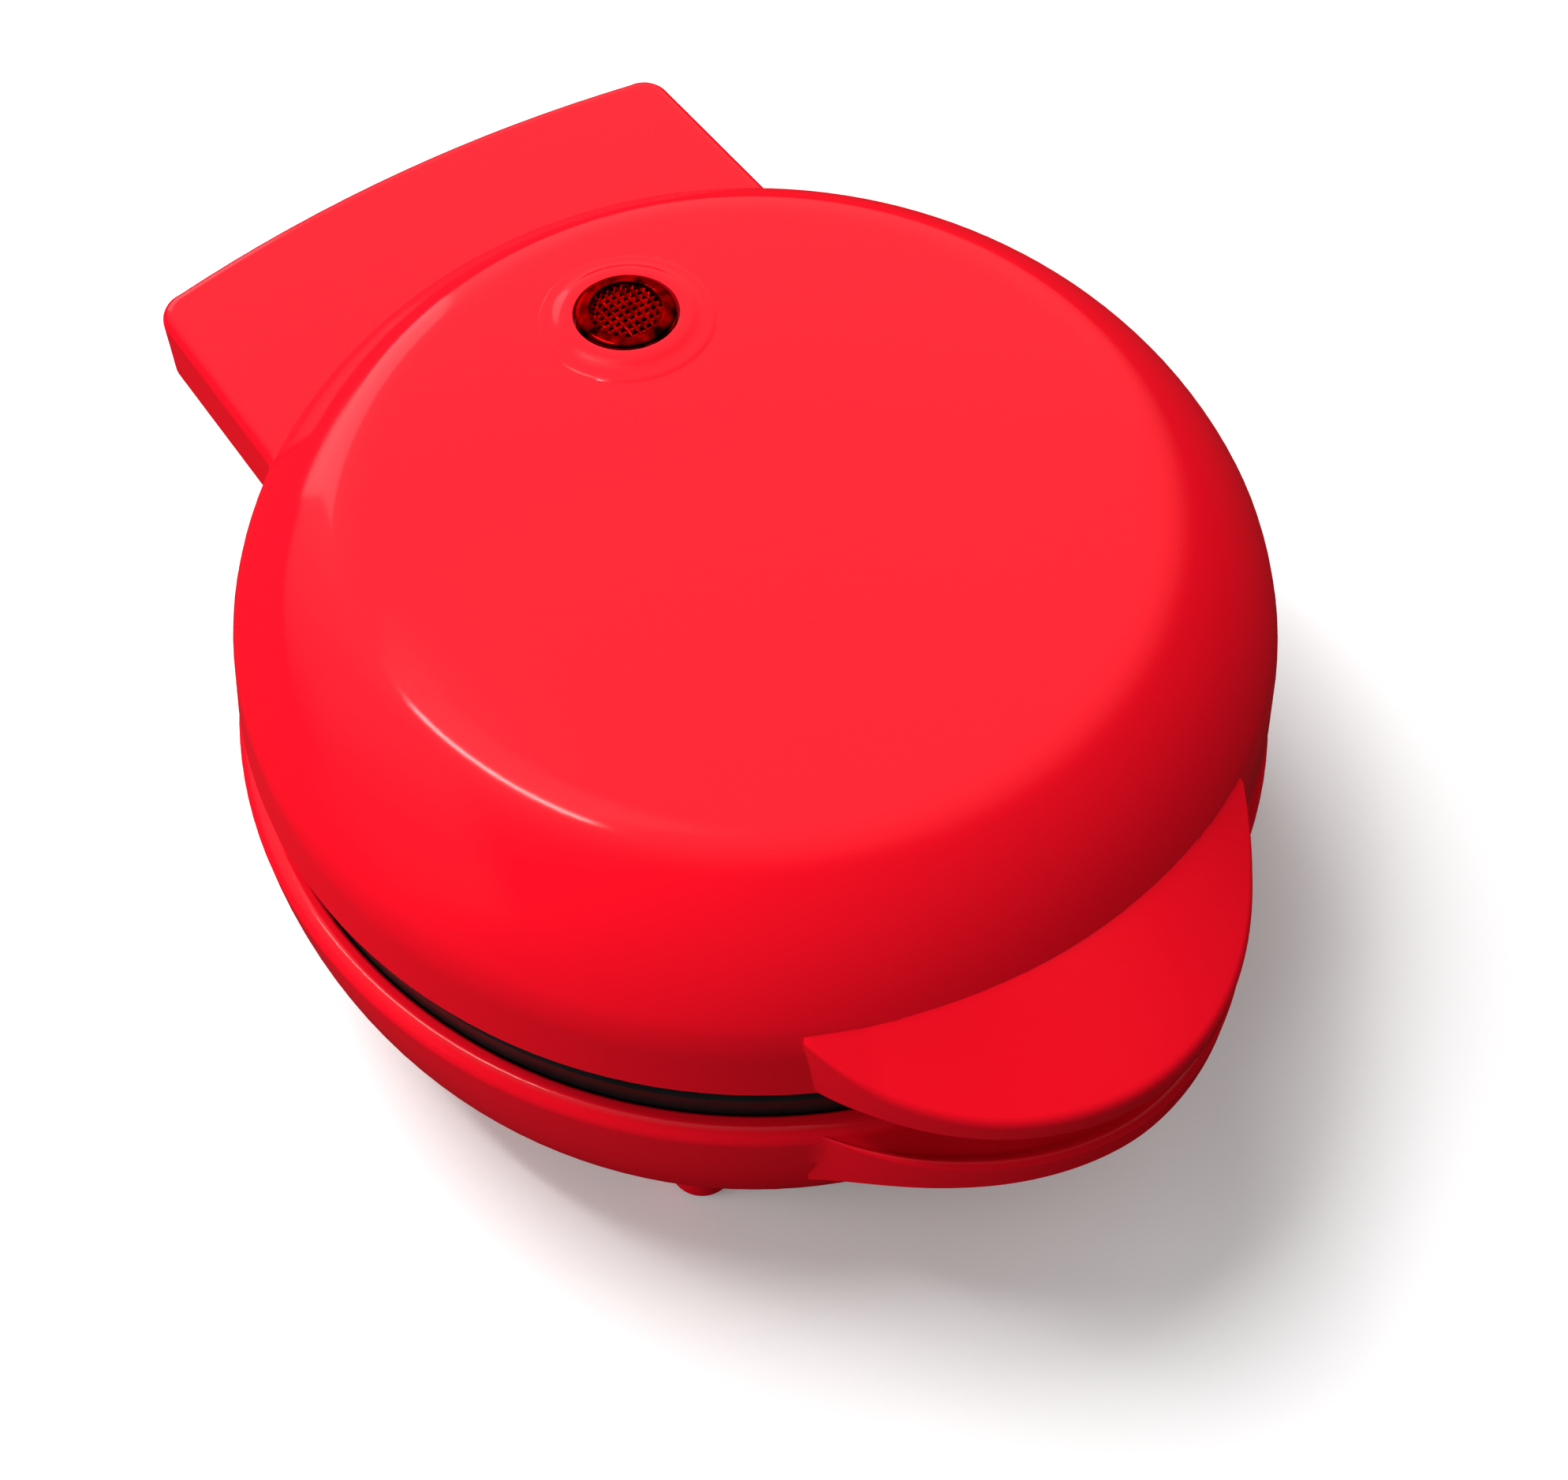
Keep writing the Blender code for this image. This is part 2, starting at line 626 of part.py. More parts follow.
def make_base_shell():
    """The base: bowl, rim, lip, feet, hinge arms and screw posts in one moulding."""
    inner = BASE_RADIUS - BASE_RIM_WIDTH
    top = BASE_RIM_Z + OVERRUN
    outline = [(0, BASE_FLOOR_Z)] + bowl_line() + rim_line() + [(0, BASE_RIM_Z)]
    hollow = [(0, BASE_FLOOR_Z + WALL)] + base_inside()
    hollow += [(inner, LEDGE_Z), (inner, BASE_RIM_Z - FIT), (inner + FIT, BASE_RIM_Z), (inner + FIT, top), (0, top)]
    shell = turned("base_shell", outline, RED)
    add(shell, lip_solid("base_lip"))
    for side, sign in (("left", -1), ("right", 1)):
        add(shell, extruded_x(f"arm_{side}", arm_plan(), sign * ARM_INNER_X, sign * ARM_OUTER_X))
    for i, (x, y) in enumerate(FOOT_PLACES):
        add(shell, turned(
            f"foot_{i + 1}",
            [(0, PAD_PROUD), (FOOT_RADIUS - FIT, PAD_PROUD), (FOOT_RADIUS, PAD_PROUD + FIT),
             (FOOT_RADIUS, BASE_FLOOR_Z + 2 * WALL), (0, BASE_FLOOR_Z + 2 * WALL)],
            steps=MEDIUM_STEPS, at=(x, y),
        ))
    add(shell, rod("gland_boss", GLAND_BOSS_RADIUS, GLAND_FACE_Y - GLAND_LENGTH, GLAND_FACE_Y, steps=MEDIUM_STEPS,
                   at=(0, 0, GLAND_Z), along="Y"))
    cut(shell, turned("base_inside", hollow))
    for i, degrees in enumerate(BASE_POST_ANGLES):
        x, y = around(BASE_POST_PLACE_RADIUS, degrees)
        add(shell, rod(f"base_post_{i + 1}", POST_RADIUS + FIT, BASE_FLOOR_Z + WALL / 2, POST_TOP_Z,
                       steps=SMALL_STEPS, at=(x, y)))
        cut(shell, turned(
            f"base_post_hole_{i + 1}",
            [(0, BASE_FLOOR_Z - OVERRUN), (SCREW_HEAD_RADIUS + FIT, BASE_FLOOR_Z - OVERRUN),
             (SCREW_HEAD_RADIUS + FIT, SCREW_SEAT_Z), (SCREW_RADIUS + FIT, SCREW_SEAT_Z),
             (SCREW_RADIUS + FIT, POST_TOP_Z + OVERRUN), (0, POST_TOP_Z + OVERRUN)],
            steps=SMALL_STEPS, at=(x, y),
        ))
    for i, (x, y) in enumerate(FOOT_PLACES):
        cut(shell, rod(f"pad_recess_{i + 1}", PAD_RADIUS + FIT, PAD_PROUD - OVERRUN, PAD_PROUD + PAD_SINK,
                       steps=SMALL_STEPS, at=(x, y)))
    cut(shell, rod("arm_bore", HINGE_PIN_RADIUS + FIT, -ARM_OUTER_X - OVERRUN, ARM_OUTER_X + OVERRUN,
                   steps=SMALL_STEPS, at=(0, HINGE_Y, HINGE_Z), along="X"))
    cut(shell, rod("gland_hole", GLAND_BODY_RADIUS + FIT, GLAND_FACE_Y - 2 * GLAND_LENGTH, GLAND_FACE_Y + OVERRUN,
                   steps=MEDIUM_STEPS, at=(0, 0, GLAND_Z), along="Y"))
    for i in range(VENT_COUNT):
        x = (i - (VENT_COUNT - 1) / 2) * VENT_PITCH
        cut(shell, block(f"vent_{i + 1}", (x - VENT_WIDTH / 2, -VENT_LENGTH / 2, BASE_FLOOR_Z - OVERRUN),
                         (x + VENT_WIDTH / 2, VENT_LENGTH / 2, BASE_FLOOR_Z + WALL + OVERRUN)))
    return shell


# The waffle plates

UPPER_PLATE_RADIUS = LID_RADIUS - WALL - 2 * FIT
LOWER_PLATE_RADIUS = BASE_RADIUS - BASE_RIM_WIDTH - FIT
UPPER_PLATE_WALL_DEPTH = 0.0048
PLATE_EDGE_ROUND = 0.0012
PLATE_SKIRT = 0.0022
DAM_WIDTH = 0.0020
DRIP_GROOVE_WIDTH = 0.0026
DRIP_GROOVE_DEPTH = 0.0012
PEG_FOOT = 0.0112
PEG_HEAD = 0.0092
PLATE_BOSS_RADIUS = 0.0038
PLATE_BOSS_LENGTH = 0.0072
GRID_WALL_DRAFT = 0.0012

SHEET = 0.0008
POST_TOP_Z = PLATE_UNDER_Z - PLATE_BOSS_LENGTH - SHEET - 2 * FIT
SCREW_SEAT_Z = POST_TOP_Z - SCREW_SEAT_DEPTH
UPPER_FACE_Z = 2 * PARTING_Z - PLATE_TOP_Z
LID_SCREW_SEAT_Z = UPPER_FACE_Z + SCREW_HEAD_LENGTH + 2 * FIT


def plate_profile(radius, wall_depth):
    """A plate's closed section: grid floor, dam, drip groove, rounded rim and stepped back."""
    top, groove, under = PLATE_TOP_Z, PLATE_GROOVE_Z, PLATE_UNDER_Z
    dam = GRID_RADIUS + GRID_WALL_DRAFT
    drip = dam + DAM_WIDTH
    back = top - FLANGE_THICKNESS
    skirt_bottom = top - wall_depth
    edge = arc((radius - PLATE_EDGE_ROUND, top - PLATE_EDGE_ROUND), PLATE_EDGE_ROUND, 90, 0, 4)
    return (
        [(0, groove), (GRID_RADIUS, groove), (dam, top), (drip, top),
         (drip + DRIP_GROOVE_WIDTH / 3, top - DRIP_GROOVE_DEPTH),
         (drip + DRIP_GROOVE_WIDTH * 2 / 3, top - DRIP_GROOVE_DEPTH), (drip + DRIP_GROOVE_WIDTH, top)]
        + edge
        + [(radius, skirt_bottom), (radius - PLATE_SKIRT, skirt_bottom), (radius - PLATE_SKIRT, back),
           (drip, back), (GRID_RADIUS + DAM_WIDTH, under), (0, under)]
    )


def pegs(name):
    """The tapered square pegs of one plate, trimmed round by the edge of the grid."""
    reach = int(GRID_RADIUS / PEG_PITCH) + 1
    bm = bmesh.new()
    foot, head = PEG_FOOT / 2, PEG_HEAD / 2
    base_z, top_z = PLATE_GROOVE_Z - BURIED, PLATE_GROOVE_Z + PEG_HEIGHT
    for i in range(-reach, reach):
        for j in range(-reach, reach):
            x, y = (i + 0.5) * PEG_PITCH, (j + 0.5) * PEG_PITCH
            if math.hypot(abs(x) - foot, abs(y) - foot) > GRID_RADIUS - foot / 2:
                continue
            rows = []
            for half, z in ((foot, base_z), (head, top_z)):
                corner = [(-half, -half), (half, -half), (half, half), (-half, half)]
                rows.append([bm.verts.new((x + dx, y + dy, z)) for dx, dy in corner])
            for k in range(4):
                m = (k + 1) % 4
                bm.faces.new((rows[0][k], rows[0][m], rows[1][m], rows[1][k]))
            bm.faces.new(rows[0])
            bm.faces.new(rows[1])
    made = solid(name, bm)
    trim = rod(f"{name}_trim", GRID_RADIUS + GRID_WALL_DRAFT, base_z - OVERRUN, top_z + OVERRUN, steps=PLATE_STEPS)
    return keep_inside(made, trim)


def make_plate(name, radius, wall_depth):
    """One non-stick plate, made as the lower one."""
    plate = turned(name, plate_profile(radius, wall_depth), BLACK_PLATE, steps=PLATE_STEPS)
    add(plate, pegs(f"{name}_pegs"))
    return plate


def make_lower_plate():
    plate = make_plate("lower_plate", LOWER_PLATE_RADIUS, PLATE_WALL_DEPTH)
    for i, degrees in enumerate(BASE_POST_ANGLES):
        place = around(BASE_POST_PLACE_RADIUS, degrees)
        low = PLATE_UNDER_Z - PLATE_BOSS_LENGTH
        add(plate, rod(f"plate_boss_{i + 1}", PLATE_BOSS_RADIUS, low, PLATE_UNDER_Z + BURIED,
                       steps=SMALL_STEPS, at=place))
        cut(plate, rod(f"plate_boss_hole_{i + 1}", SCREW_RADIUS + FIT, low - OVERRUN, PLATE_UNDER_Z - FIT,
                       steps=SMALL_STEPS, at=place))
    return plate


def flipped(obj):
    """Turns a piece that was made for the base over, so that it suits the lid."""
    turn = Matrix.Translation((0, 0, 2 * PARTING_Z)) @ Matrix.Rotation(math.pi, 4, "Y")
    obj.data.transform(turn)
    for step in obj.modifiers:
        flipped(step.object)
    return obj


def make_upper_plate():
    plate = flipped(make_plate("upper_plate", UPPER_PLATE_RADIUS, UPPER_PLATE_WALL_DEPTH))
    for i, degrees in enumerate(LID_POST_ANGLES):
        x, y = around(LID_POST_PLACE_RADIUS, degrees)
        face, seat = UPPER_FACE_Z, LID_SCREW_SEAT_Z
        cut(plate, turned(
            f"flange_hole_{i + 1}",
            [(0, face - OVERRUN), (SCREW_HEAD_RADIUS + FIT, face - OVERRUN), (SCREW_HEAD_RADIUS + FIT, seat),
             (SCREW_RADIUS + FIT, seat), (SCREW_RADIUS + FIT, LID_FLANGE_BACK_Z + OVERRUN),
             (0, LID_FLANGE_BACK_Z + OVERRUN)],
            steps=SMALL_STEPS, at=(x, y),
        ))
    return plate


# What heats the plates

ELEMENT_RING_RADIUS = 0.0320
ELEMENT_TUBE_RADIUS = 0.0030
ELEMENT_LEAD_X = 0.0080
ELEMENT_BEND = 0.0070
ELEMENT_END_Y = 0.0500
ELEMENT_RING_POINTS = 26
ELEMENT_Z = PLATE_UNDER_Z - FIT - ELEMENT_TUBE_RADIUS

PAN_RADIUS = 0.0530
PAN_BRIM = 0.0580
PAN_TOP_Z = POST_TOP_Z + FIT + SHEET
PAN_BRIM_Z = PLATE_UNDER_Z - 2 * SHEET
PAN_HOLE = 0.0120


def tube(name, points, radius, finish, resolution):
    """A round tube along a run of points, with closed ends."""
    curve = bpy.data.curves.new(name, "CURVE")
    curve.dimensions = "3D"
    curve.bevel_depth = radius
    curve.bevel_resolution = resolution
    curve.use_fill_caps = True
    spline = curve.splines.new("POLY")
    spline.points.add(len(points) - 1)
    for knot, place in zip(spline.points, points):
        knot.co = (*place, 1)
    curve.materials.append(finish)
    obj = bpy.data.objects.new(name, curve)
    bpy.context.scene.collection.objects.link(obj)
    return obj


def element_path(height):
    """An almost closed ring whose two ends turn out towards the back."""
    ring, bend, lead = ELEMENT_RING_RADIUS, ELEMENT_BEND, ELEMENT_LEAD_X
    knee_x = lead + bend
    knee_y = math.sqrt((ring + bend) ** 2 - knee_x ** 2)
    meet = math.atan2(knee_y, knee_x)
    right = [(lead, ELEMENT_END_Y), (lead, knee_y)]
    for i in range(1, 4):
        turn = math.pi + meet * i / 4
        right.append((knee_x + bend * math.cos(turn), knee_y + bend * math.sin(turn)))
    sweep = math.tau - (math.pi - 2 * meet)
    for i in range(ELEMENT_RING_POINTS // 2 + 1):
        turn = meet - sweep / 2 * i / (ELEMENT_RING_POINTS // 2)
        right.append((ring * math.cos(turn), ring * math.sin(turn)))
    left = [(-x, y) for x, y in reversed(right[:-1])]
    return [(x, y, height) for x, y in right + left]


def make_element(name, height):
    return tube(name, element_path(height), ELEMENT_TUBE_RADIUS, ELEMENT, 3)


def pan_profile():
    """The heat shield: a pressed pan with a turned-out brim and a hole in its middle."""
    top, brim_z = PAN_TOP_Z, PAN_BRIM_Z
    under = top - SHEET
    return [
        (PAN_HOLE, top), (PAN_HOLE, under), (PAN_RADIUS, under), (PAN_BRIM, brim_z - SHEET),
        (PAN_BRIM + 3 * SHEET, brim_z - SHEET), (PAN_BRIM + 3 * SHEET, brim_z), (PAN_BRIM - SHEET, brim_z),
        (PAN_RADIUS - SHEET, top),
    ]


def make_lower_shield():
    shield = turned("lower_heat_shield", pan_profile(), SHIELD, steps=SHIELD_STEPS)
    for i, degrees in enumerate(BASE_POST_ANGLES):
        cut(shield, rod(f"shield_hole_{i + 1}", SCREW_RADIUS + FIT, POST_TOP_Z - OVERRUN, PAN_TOP_Z + OVERRUN,
                        steps=SMALL_STEPS, at=around(BASE_POST_PLACE_RADIUS, degrees)))
    half = ELEMENT_LEAD_X + ELEMENT_TUBE_RADIUS
    cut(shield, block("lead_notch", (-half, PAN_RADIUS - SCREW_HEAD_RADIUS, POST_TOP_Z - OVERRUN),
                      (half, PAN_BRIM + 2 * PAN_HOLE, PLATE_UNDER_Z + OVERRUN)))
    return shield


UPPER_SHIELD_RISE = 0.0100
UPPER_SHIELD_RADIUS = 0.0480


def make_upper_shield():
    """The lid's heat shield stands on the back of the upper plate by its turned edge."""
    foot = 2 * PARTING_Z - PLATE_UNDER_Z + FIT
    top = foot + UPPER_SHIELD_RISE
    outer = UPPER_SHIELD_RADIUS
    profile = [
        (PAN_HOLE, top), (PAN_HOLE, top - SHEET), (outer - 2 * SHEET, top - SHEET),
        (outer - SHEET, top - 2 * SHEET), (outer - SHEET, foot), (outer, foot), (outer, top - SHEET),
        (outer - SHEET, top),
    ]
    shield = turned("upper_heat_shield", profile, SHIELD, steps=SHIELD_STEPS)
    half = ELEMENT_LEAD_X + ELEMENT_TUBE_RADIUS + 2 * FIT
    reach = ELEMENT_Z_LID + ELEMENT_TUBE_RADIUS + FIT
    cut(shield, block("shield_notch", (-half, outer / 2, foot - OVERRUN), (half, outer + OVERRUN, reach)))
    return shield


ELEMENT_Z_LID = 2 * PARTING_Z - ELEMENT_Z

# Small electrical pieces

THERMOSTAT_RADIUS = 0.0080
THERMOSTAT_CAP = 0.0040
THERMOSTAT_BODY_RADIUS = 0.0070
THERMOSTAT_HEIGHT = 0.0098
THERMOSTAT_TAB = 0.0063
BULB_RADIUS = 0.0028
BULB_LENGTH = 0.0078
HOLDER_WALL = 0.0011
HOLDER_FLOOR = 0.0014
HOLDER_GRIP = 0.0040
FUSE_RADIUS = 0.0020
FUSE_LENGTH = 0.0110
FUSE_STRAP = 0.0009
TERMINAL_SIZE = (0.0230, 0.0090, 0.0085)
TERMINAL_Y = 0.0300
LEAD_RADIUS = 0.0009
LEAD_POINTS = 14


def make_thermostat():
    """A snap-disc thermostat, cap down on the back of the upper plate, with two blade tabs."""
    foot = 2 * PARTING_Z - PLATE_UNDER_Z + FIT
    top = foot + THERMOSTAT_HEIGHT
    body = turned(
        "thermostat",
        [(0, foot), (THERMOSTAT_RADIUS, foot), (THERMOSTAT_RADIUS, foot + THERMOSTAT_CAP),
         (THERMOSTAT_BODY_RADIUS, foot + THERMOSTAT_CAP), (THERMOSTAT_BODY_RADIUS, top), (0, top)],
        CERAMIC, steps=MEDIUM_STEPS,
    )
    for side, sign in (("left", -1), ("right", 1)):
        x = sign * THERMOSTAT_BODY_RADIUS / 2
        add(body, block(f"tab_{side}", (x - SHEET / 2, -THERMOSTAT_TAB / 2, top - BURIED),
                        (x + SHEET / 2, THERMOSTAT_TAB / 2, top + 2 * BURIED)))
    return body


def make_lens():
    """The indicator lens: a low crowned cap on a hollow stem."""
    top = BOSS_TOP_Z + LENS_PROUD
    seat = LENS_SEAT_Z + FIT
    low = seat - LENS_STEM_LENGTH
    stem, bore = LENS_STEM_RADIUS, LENS_STEM_RADIUS - LENS_WALL
    crown = [(LENS_RADIUS * share, BOSS_TOP_Z + LENS_PROUD * (1 - share ** 3)) for share in (0.95, 0.8, 0.55, 0.3)]
    profile = [(0, BOSS_TOP_Z - LENS_FLANGE / 2), (bore, BOSS_TOP_Z - LENS_FLANGE / 2), (bore, low), (stem, low),
               (stem, seat), (LENS_RADIUS, seat), (LENS_RADIUS, BOSS_TOP_Z - FIT)] + crown + [(0, top)]
    return turned("indicator_lens", profile, LENS_RED, steps=MEDIUM_STEPS, at=(LENS_X, LENS_Y))


def make_lamp_holder():
    """A snap cup that grips the lens stem and carries the lamp."""
    low = LENS_SEAT_Z + FIT - LENS_STEM_LENGTH
    grip = LENS_STEM_RADIUS + FIT
    floor = low - FIT
    profile = [(BULB_RADIUS * 0.7, floor), (grip, floor), (grip, low + HOLDER_GRIP),
               (grip + HOLDER_WALL, low + HOLDER_GRIP), (grip + HOLDER_WALL, floor - HOLDER_FLOOR),
               (BULB_RADIUS * 0.7, floor - HOLDER_FLOOR)]
    return turned("lamp_holder", profile, DARK_NYLON, steps=MEDIUM_STEPS, at=(LENS_X, LENS_Y))


def make_lamp():
    """The neon lamp: a glass bulb that stands in the holder, inside the hollow stem."""
    floor = LENS_SEAT_Z - LENS_STEM_LENGTH + FIT
    nose = floor + BULB_LENGTH
    bend = BULB_RADIUS
    dome = arc((0, nose - bend), bend, 0, 90, 5)
    profile = [(0, floor), (BULB_RADIUS, floor)] + dome[:-1] + [(0, nose)]
    return turned("neon_lamp", profile, LAMP_GLASS, steps=SMALL_STEPS, at=(LENS_X, LENS_Y))


def make_fuse():
    """The thermal fuse, strapped flat against the back of the lower plate."""
    z = PLATE_UNDER_Z - FIT - FUSE_RADIUS
    half = FUSE_LENGTH / 2
    y = -ELEMENT_RING_RADIUS / 2
    body = rod("thermal_fuse", FUSE_RADIUS, -half, half, STEEL, steps=SMALL_STEPS, at=(0, y, z), along="X")
    for side, sign in (("left", -1), ("right", 1)):
        add(body, rod(f"fuse_wire_{side}", FUSE_RADIUS / 3, min(sign * half / 2, sign * half * 1.7),
                      max(sign * half / 2, sign * half * 1.7), steps=8, at=(0, y, z), along="X"))
    return body


def make_terminal_block():
    """The block on the bowl's floor where the mains leads are clamped."""
    width, depth, height = TERMINAL_SIZE
    floor = BASE_FLOOR_Z + WALL + FIT
    body = block("terminal_block", (-width / 2, TERMINAL_Y - depth / 2, floor),
                 (width / 2, TERMINAL_Y + depth / 2, floor + height), DARK_NYLON)
    for i, share in enumerate((-0.25, 0.25)):
        cut(body, rod(f"terminal_well_{i + 1}", SCREW_HEAD_RADIUS, floor + height / 2, floor + height + OVERRUN,
                      steps=SMALL_STEPS, at=(width * share, TERMINAL_Y)))
    return body


def make_gland():
    """The bush in the back of the base through which the mains cord would pass."""
    face = GLAND_FACE_Y + FIT
    tail = GLAND_FACE_Y - GLAND_LENGTH
    profile = [
        (GLAND_BORE_RADIUS, tail), (GLAND_BODY_RADIUS, tail), (GLAND_BARB_RADIUS, tail + GLAND_BARB_LENGTH),
        (GLAND_BODY_RADIUS, tail + GLAND_BARB_LENGTH + FIT), (GLAND_BODY_RADIUS, face), (GLAND_FLANGE_RADIUS, face),
        (GLAND_FLANGE_RADIUS, face + GLAND_FLANGE - 2 * FIT), (GLAND_FLANGE_RADIUS - 2 * FIT, face + GLAND_FLANGE),
        (GLAND_BORE_RADIUS + FIT, face + GLAND_FLANGE), (GLAND_BORE_RADIUS, face + GLAND_FLANGE - FIT),
    ]
    return turned("cord_gland", profile, DARK_NYLON, steps=MEDIUM_STEPS, at=(0, 0, GLAND_Z), along="Y")


def screw(name, place, seat, length):
    """A pan-head screw with a cross recess. It goes in from below, up to its seat."""
    head, tip = seat - SCREW_HEAD_LENGTH, seat + length
    profile = [
        (0, head), (SCREW_HEAD_RADIUS * 0.7, head), (SCREW_HEAD_RADIUS, seat - SCREW_HEAD_LENGTH / 2),
        (SCREW_HEAD_RADIUS, seat), (SCREW_RADIUS, seat), (SCREW_RADIUS, tip - SCREW_RADIUS),
        (SCREW_RADIUS / 3, tip), (0, tip),
    ]
    made = turned(name, profile, STEEL, steps=SMALL_STEPS, at=place)
    arm, slit = SCREW_HEAD_RADIUS * 0.55, SCREW_RADIUS * 0.35
    for i, (wide, deep) in enumerate(((arm, slit), (slit, arm))):
        cut(made, block(f"{name}_recess_{i + 1}", (place[0] - wide, place[1] - deep, head - OVERRUN),
                        (place[0] + wide, place[1] + deep, head + SCREW_HEAD_LENGTH / 2)))
    return made


def make_pin(side, sign):
    """A headed hinge pin, pushed in from between the arms."""
    inner, outer = ARM_INNER_X - FIT, LUG_OUTER_X + 2 * FIT
    head = inner - PIN_HEAD_LENGTH
    profile = [(0, head), (PIN_HEAD_RADIUS, head), (PIN_HEAD_RADIUS, inner), (HINGE_PIN_RADIUS, inner),
               (HINGE_PIN_RADIUS, outer), (0, outer)]
    profile = [(radius, sign * along) for radius, along in profile]
    return turned(f"hinge_pin_{side}", profile, STEEL, steps=SMALL_STEPS, at=(0, HINGE_Y, HINGE_Z), along="X")


def bent_lead(name, controls):
    """A lead along one cubic curve through space, given by its four control points."""
    points = []
    for i in range(LEAD_POINTS + 1):
        t = i / LEAD_POINTS
        weights = ((1 - t) ** 3, 3 * t * (1 - t) ** 2, 3 * t * t * (1 - t), t ** 3)
        points.append(sum((Vector(c) * w for c, w in zip(controls, weights)), Vector()))
    return tube(name, points, LEAD_RADIUS, LEAD, 1)


def make_element_lead(side, sign):
    """A lead from the terminal block up through the shield's notch to the lower element."""
    width, depth, height = TERMINAL_SIZE
    start_y, end_y = TERMINAL_Y + depth / 2 + FIT, ELEMENT_END_Y + FIT
    low_z = BASE_FLOOR_Z + WALL + FIT + height / 2
    x = sign * ELEMENT_LEAD_X
    return bent_lead(f"element_lead_{side}", [
        (x, end_y, ELEMENT_Z), (x, end_y + height, ELEMENT_Z), (x, end_y, low_z), (x, start_y, low_z),
    ])


def make_lamp_lead(side, sign):
    """A lead from a blade of the thermostat to the lamp holder, over the upper shield."""
    start_y = THERMOSTAT_TAB / 2 + FIT
    end_y = LENS_Y - LENS_STEM_RADIUS - HOLDER_WALL - 2 * FIT
    start_z = 2 * PARTING_Z - PLATE_UNDER_Z + FIT + THERMOSTAT_HEIGHT + 2 * BURIED - LEAD_RADIUS
    end_z = LENS_SEAT_Z - LENS_STEM_LENGTH + LEAD_RADIUS
    x = sign * THERMOSTAT_BODY_RADIUS / 2
    reach = (end_y - start_y) / 3
    return bent_lead(f"lamp_lead_{side}", [
        (x, start_y, start_z), (x, start_y + reach, start_z),
        (LENS_X + x / 2, end_y - reach, end_z), (LENS_X + x / 2, end_y, end_z),
    ])


def make_foot_pad(name, place):
    """A rubber pad let into the bottom of a foot."""
    return rod(f"foot_pad_{name}", PAD_RADIUS, 0, PAD_PROUD + PAD_SINK - FIT, RUBBER, steps=SMALL_STEPS, at=place)


# Assembly

SIDES = (("left", -1), ("right", 1))


def empty(name, place, parent=None):
    obj = bpy.data.objects.new(name, None)
    obj.location = place
    obj.parent = parent
    bpy.context.scene.collection.objects.link(obj)
    return obj


def hang(obj, parent, offset):
    """Parents a piece, and every shape its modifiers use, without moving them in the model."""
    if obj.parent:
        return
    obj.parent = parent
    obj.location = offset
    for step in obj.modifiers:
        hang(step.object, parent, offset)


def make_base_pieces():
    pieces = [make_base_shell(), make_lower_plate(), make_element("lower_element", ELEMENT_Z)]
    pieces += [make_lower_shield(), make_fuse(), make_terminal_block(), make_gland()]
    for side, sign in SIDES:
        pieces.append(make_pin(side, sign))
        pieces.append(make_element_lead(side, sign))
    for i, degrees in enumerate(BASE_POST_ANGLES):
        place = around(BASE_POST_PLACE_RADIUS, degrees)
        pieces.append(screw(f"base_screw_{i + 1}", place, SCREW_SEAT_Z - FIT, BASE_SCREW_LENGTH))
    for name, place in zip(FOOT_NAMES, FOOT_PLACES):
        pieces.append(make_foot_pad(name, place))
    return pieces


def make_lid_pieces():
    pieces = [make_lid_shell(), make_upper_plate(), make_element("upper_element", ELEMENT_Z_LID)]
    pieces += [make_upper_shield(), make_thermostat(), make_lens(), make_lamp_holder(), make_lamp()]
    for side, sign in SIDES:
        pieces.append(make_lamp_lead(side, sign))
    for i, degrees in enumerate(LID_POST_ANGLES):
        place = around(LID_POST_PLACE_RADIUS, degrees)
        pieces.append(screw(f"lid_screw_{i + 1}", place, LID_SCREW_SEAT_Z - FIT, LID_SCREW_LENGTH))
    return pieces


def main():
    front = TAB_REACH - TAB_CENTRE_Y
    body = empty("waffle_maker", (0, (front - HOOD_REAR_Y) / 2, 0))
    hinge = empty("lid_hinge", (0, HINGE_Y, HINGE_Z), body)
    for piece in make_base_pieces():
        hang(piece, body, (0, 0, 0))
    for piece in make_lid_pieces():
        hang(piece, hinge, (0, -HINGE_Y, -HINGE_Z))


main()
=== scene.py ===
# %% [markdown]
# A mini waffle maker: two round glossy red mouldings, hinged at the back, with a black cast grid
# plate in each. The engineering model is loaded first as a fixed frame. It says where every piece
# goes and how the lid turns. This lesson then dresses it: the big visible mouldings are modelled
# again with many more faces, and the small pieces are copied, cleaned and given soft edges.

# %% Load the frame
import json
import math

import bpy
from mathutils import Matrix, Vector


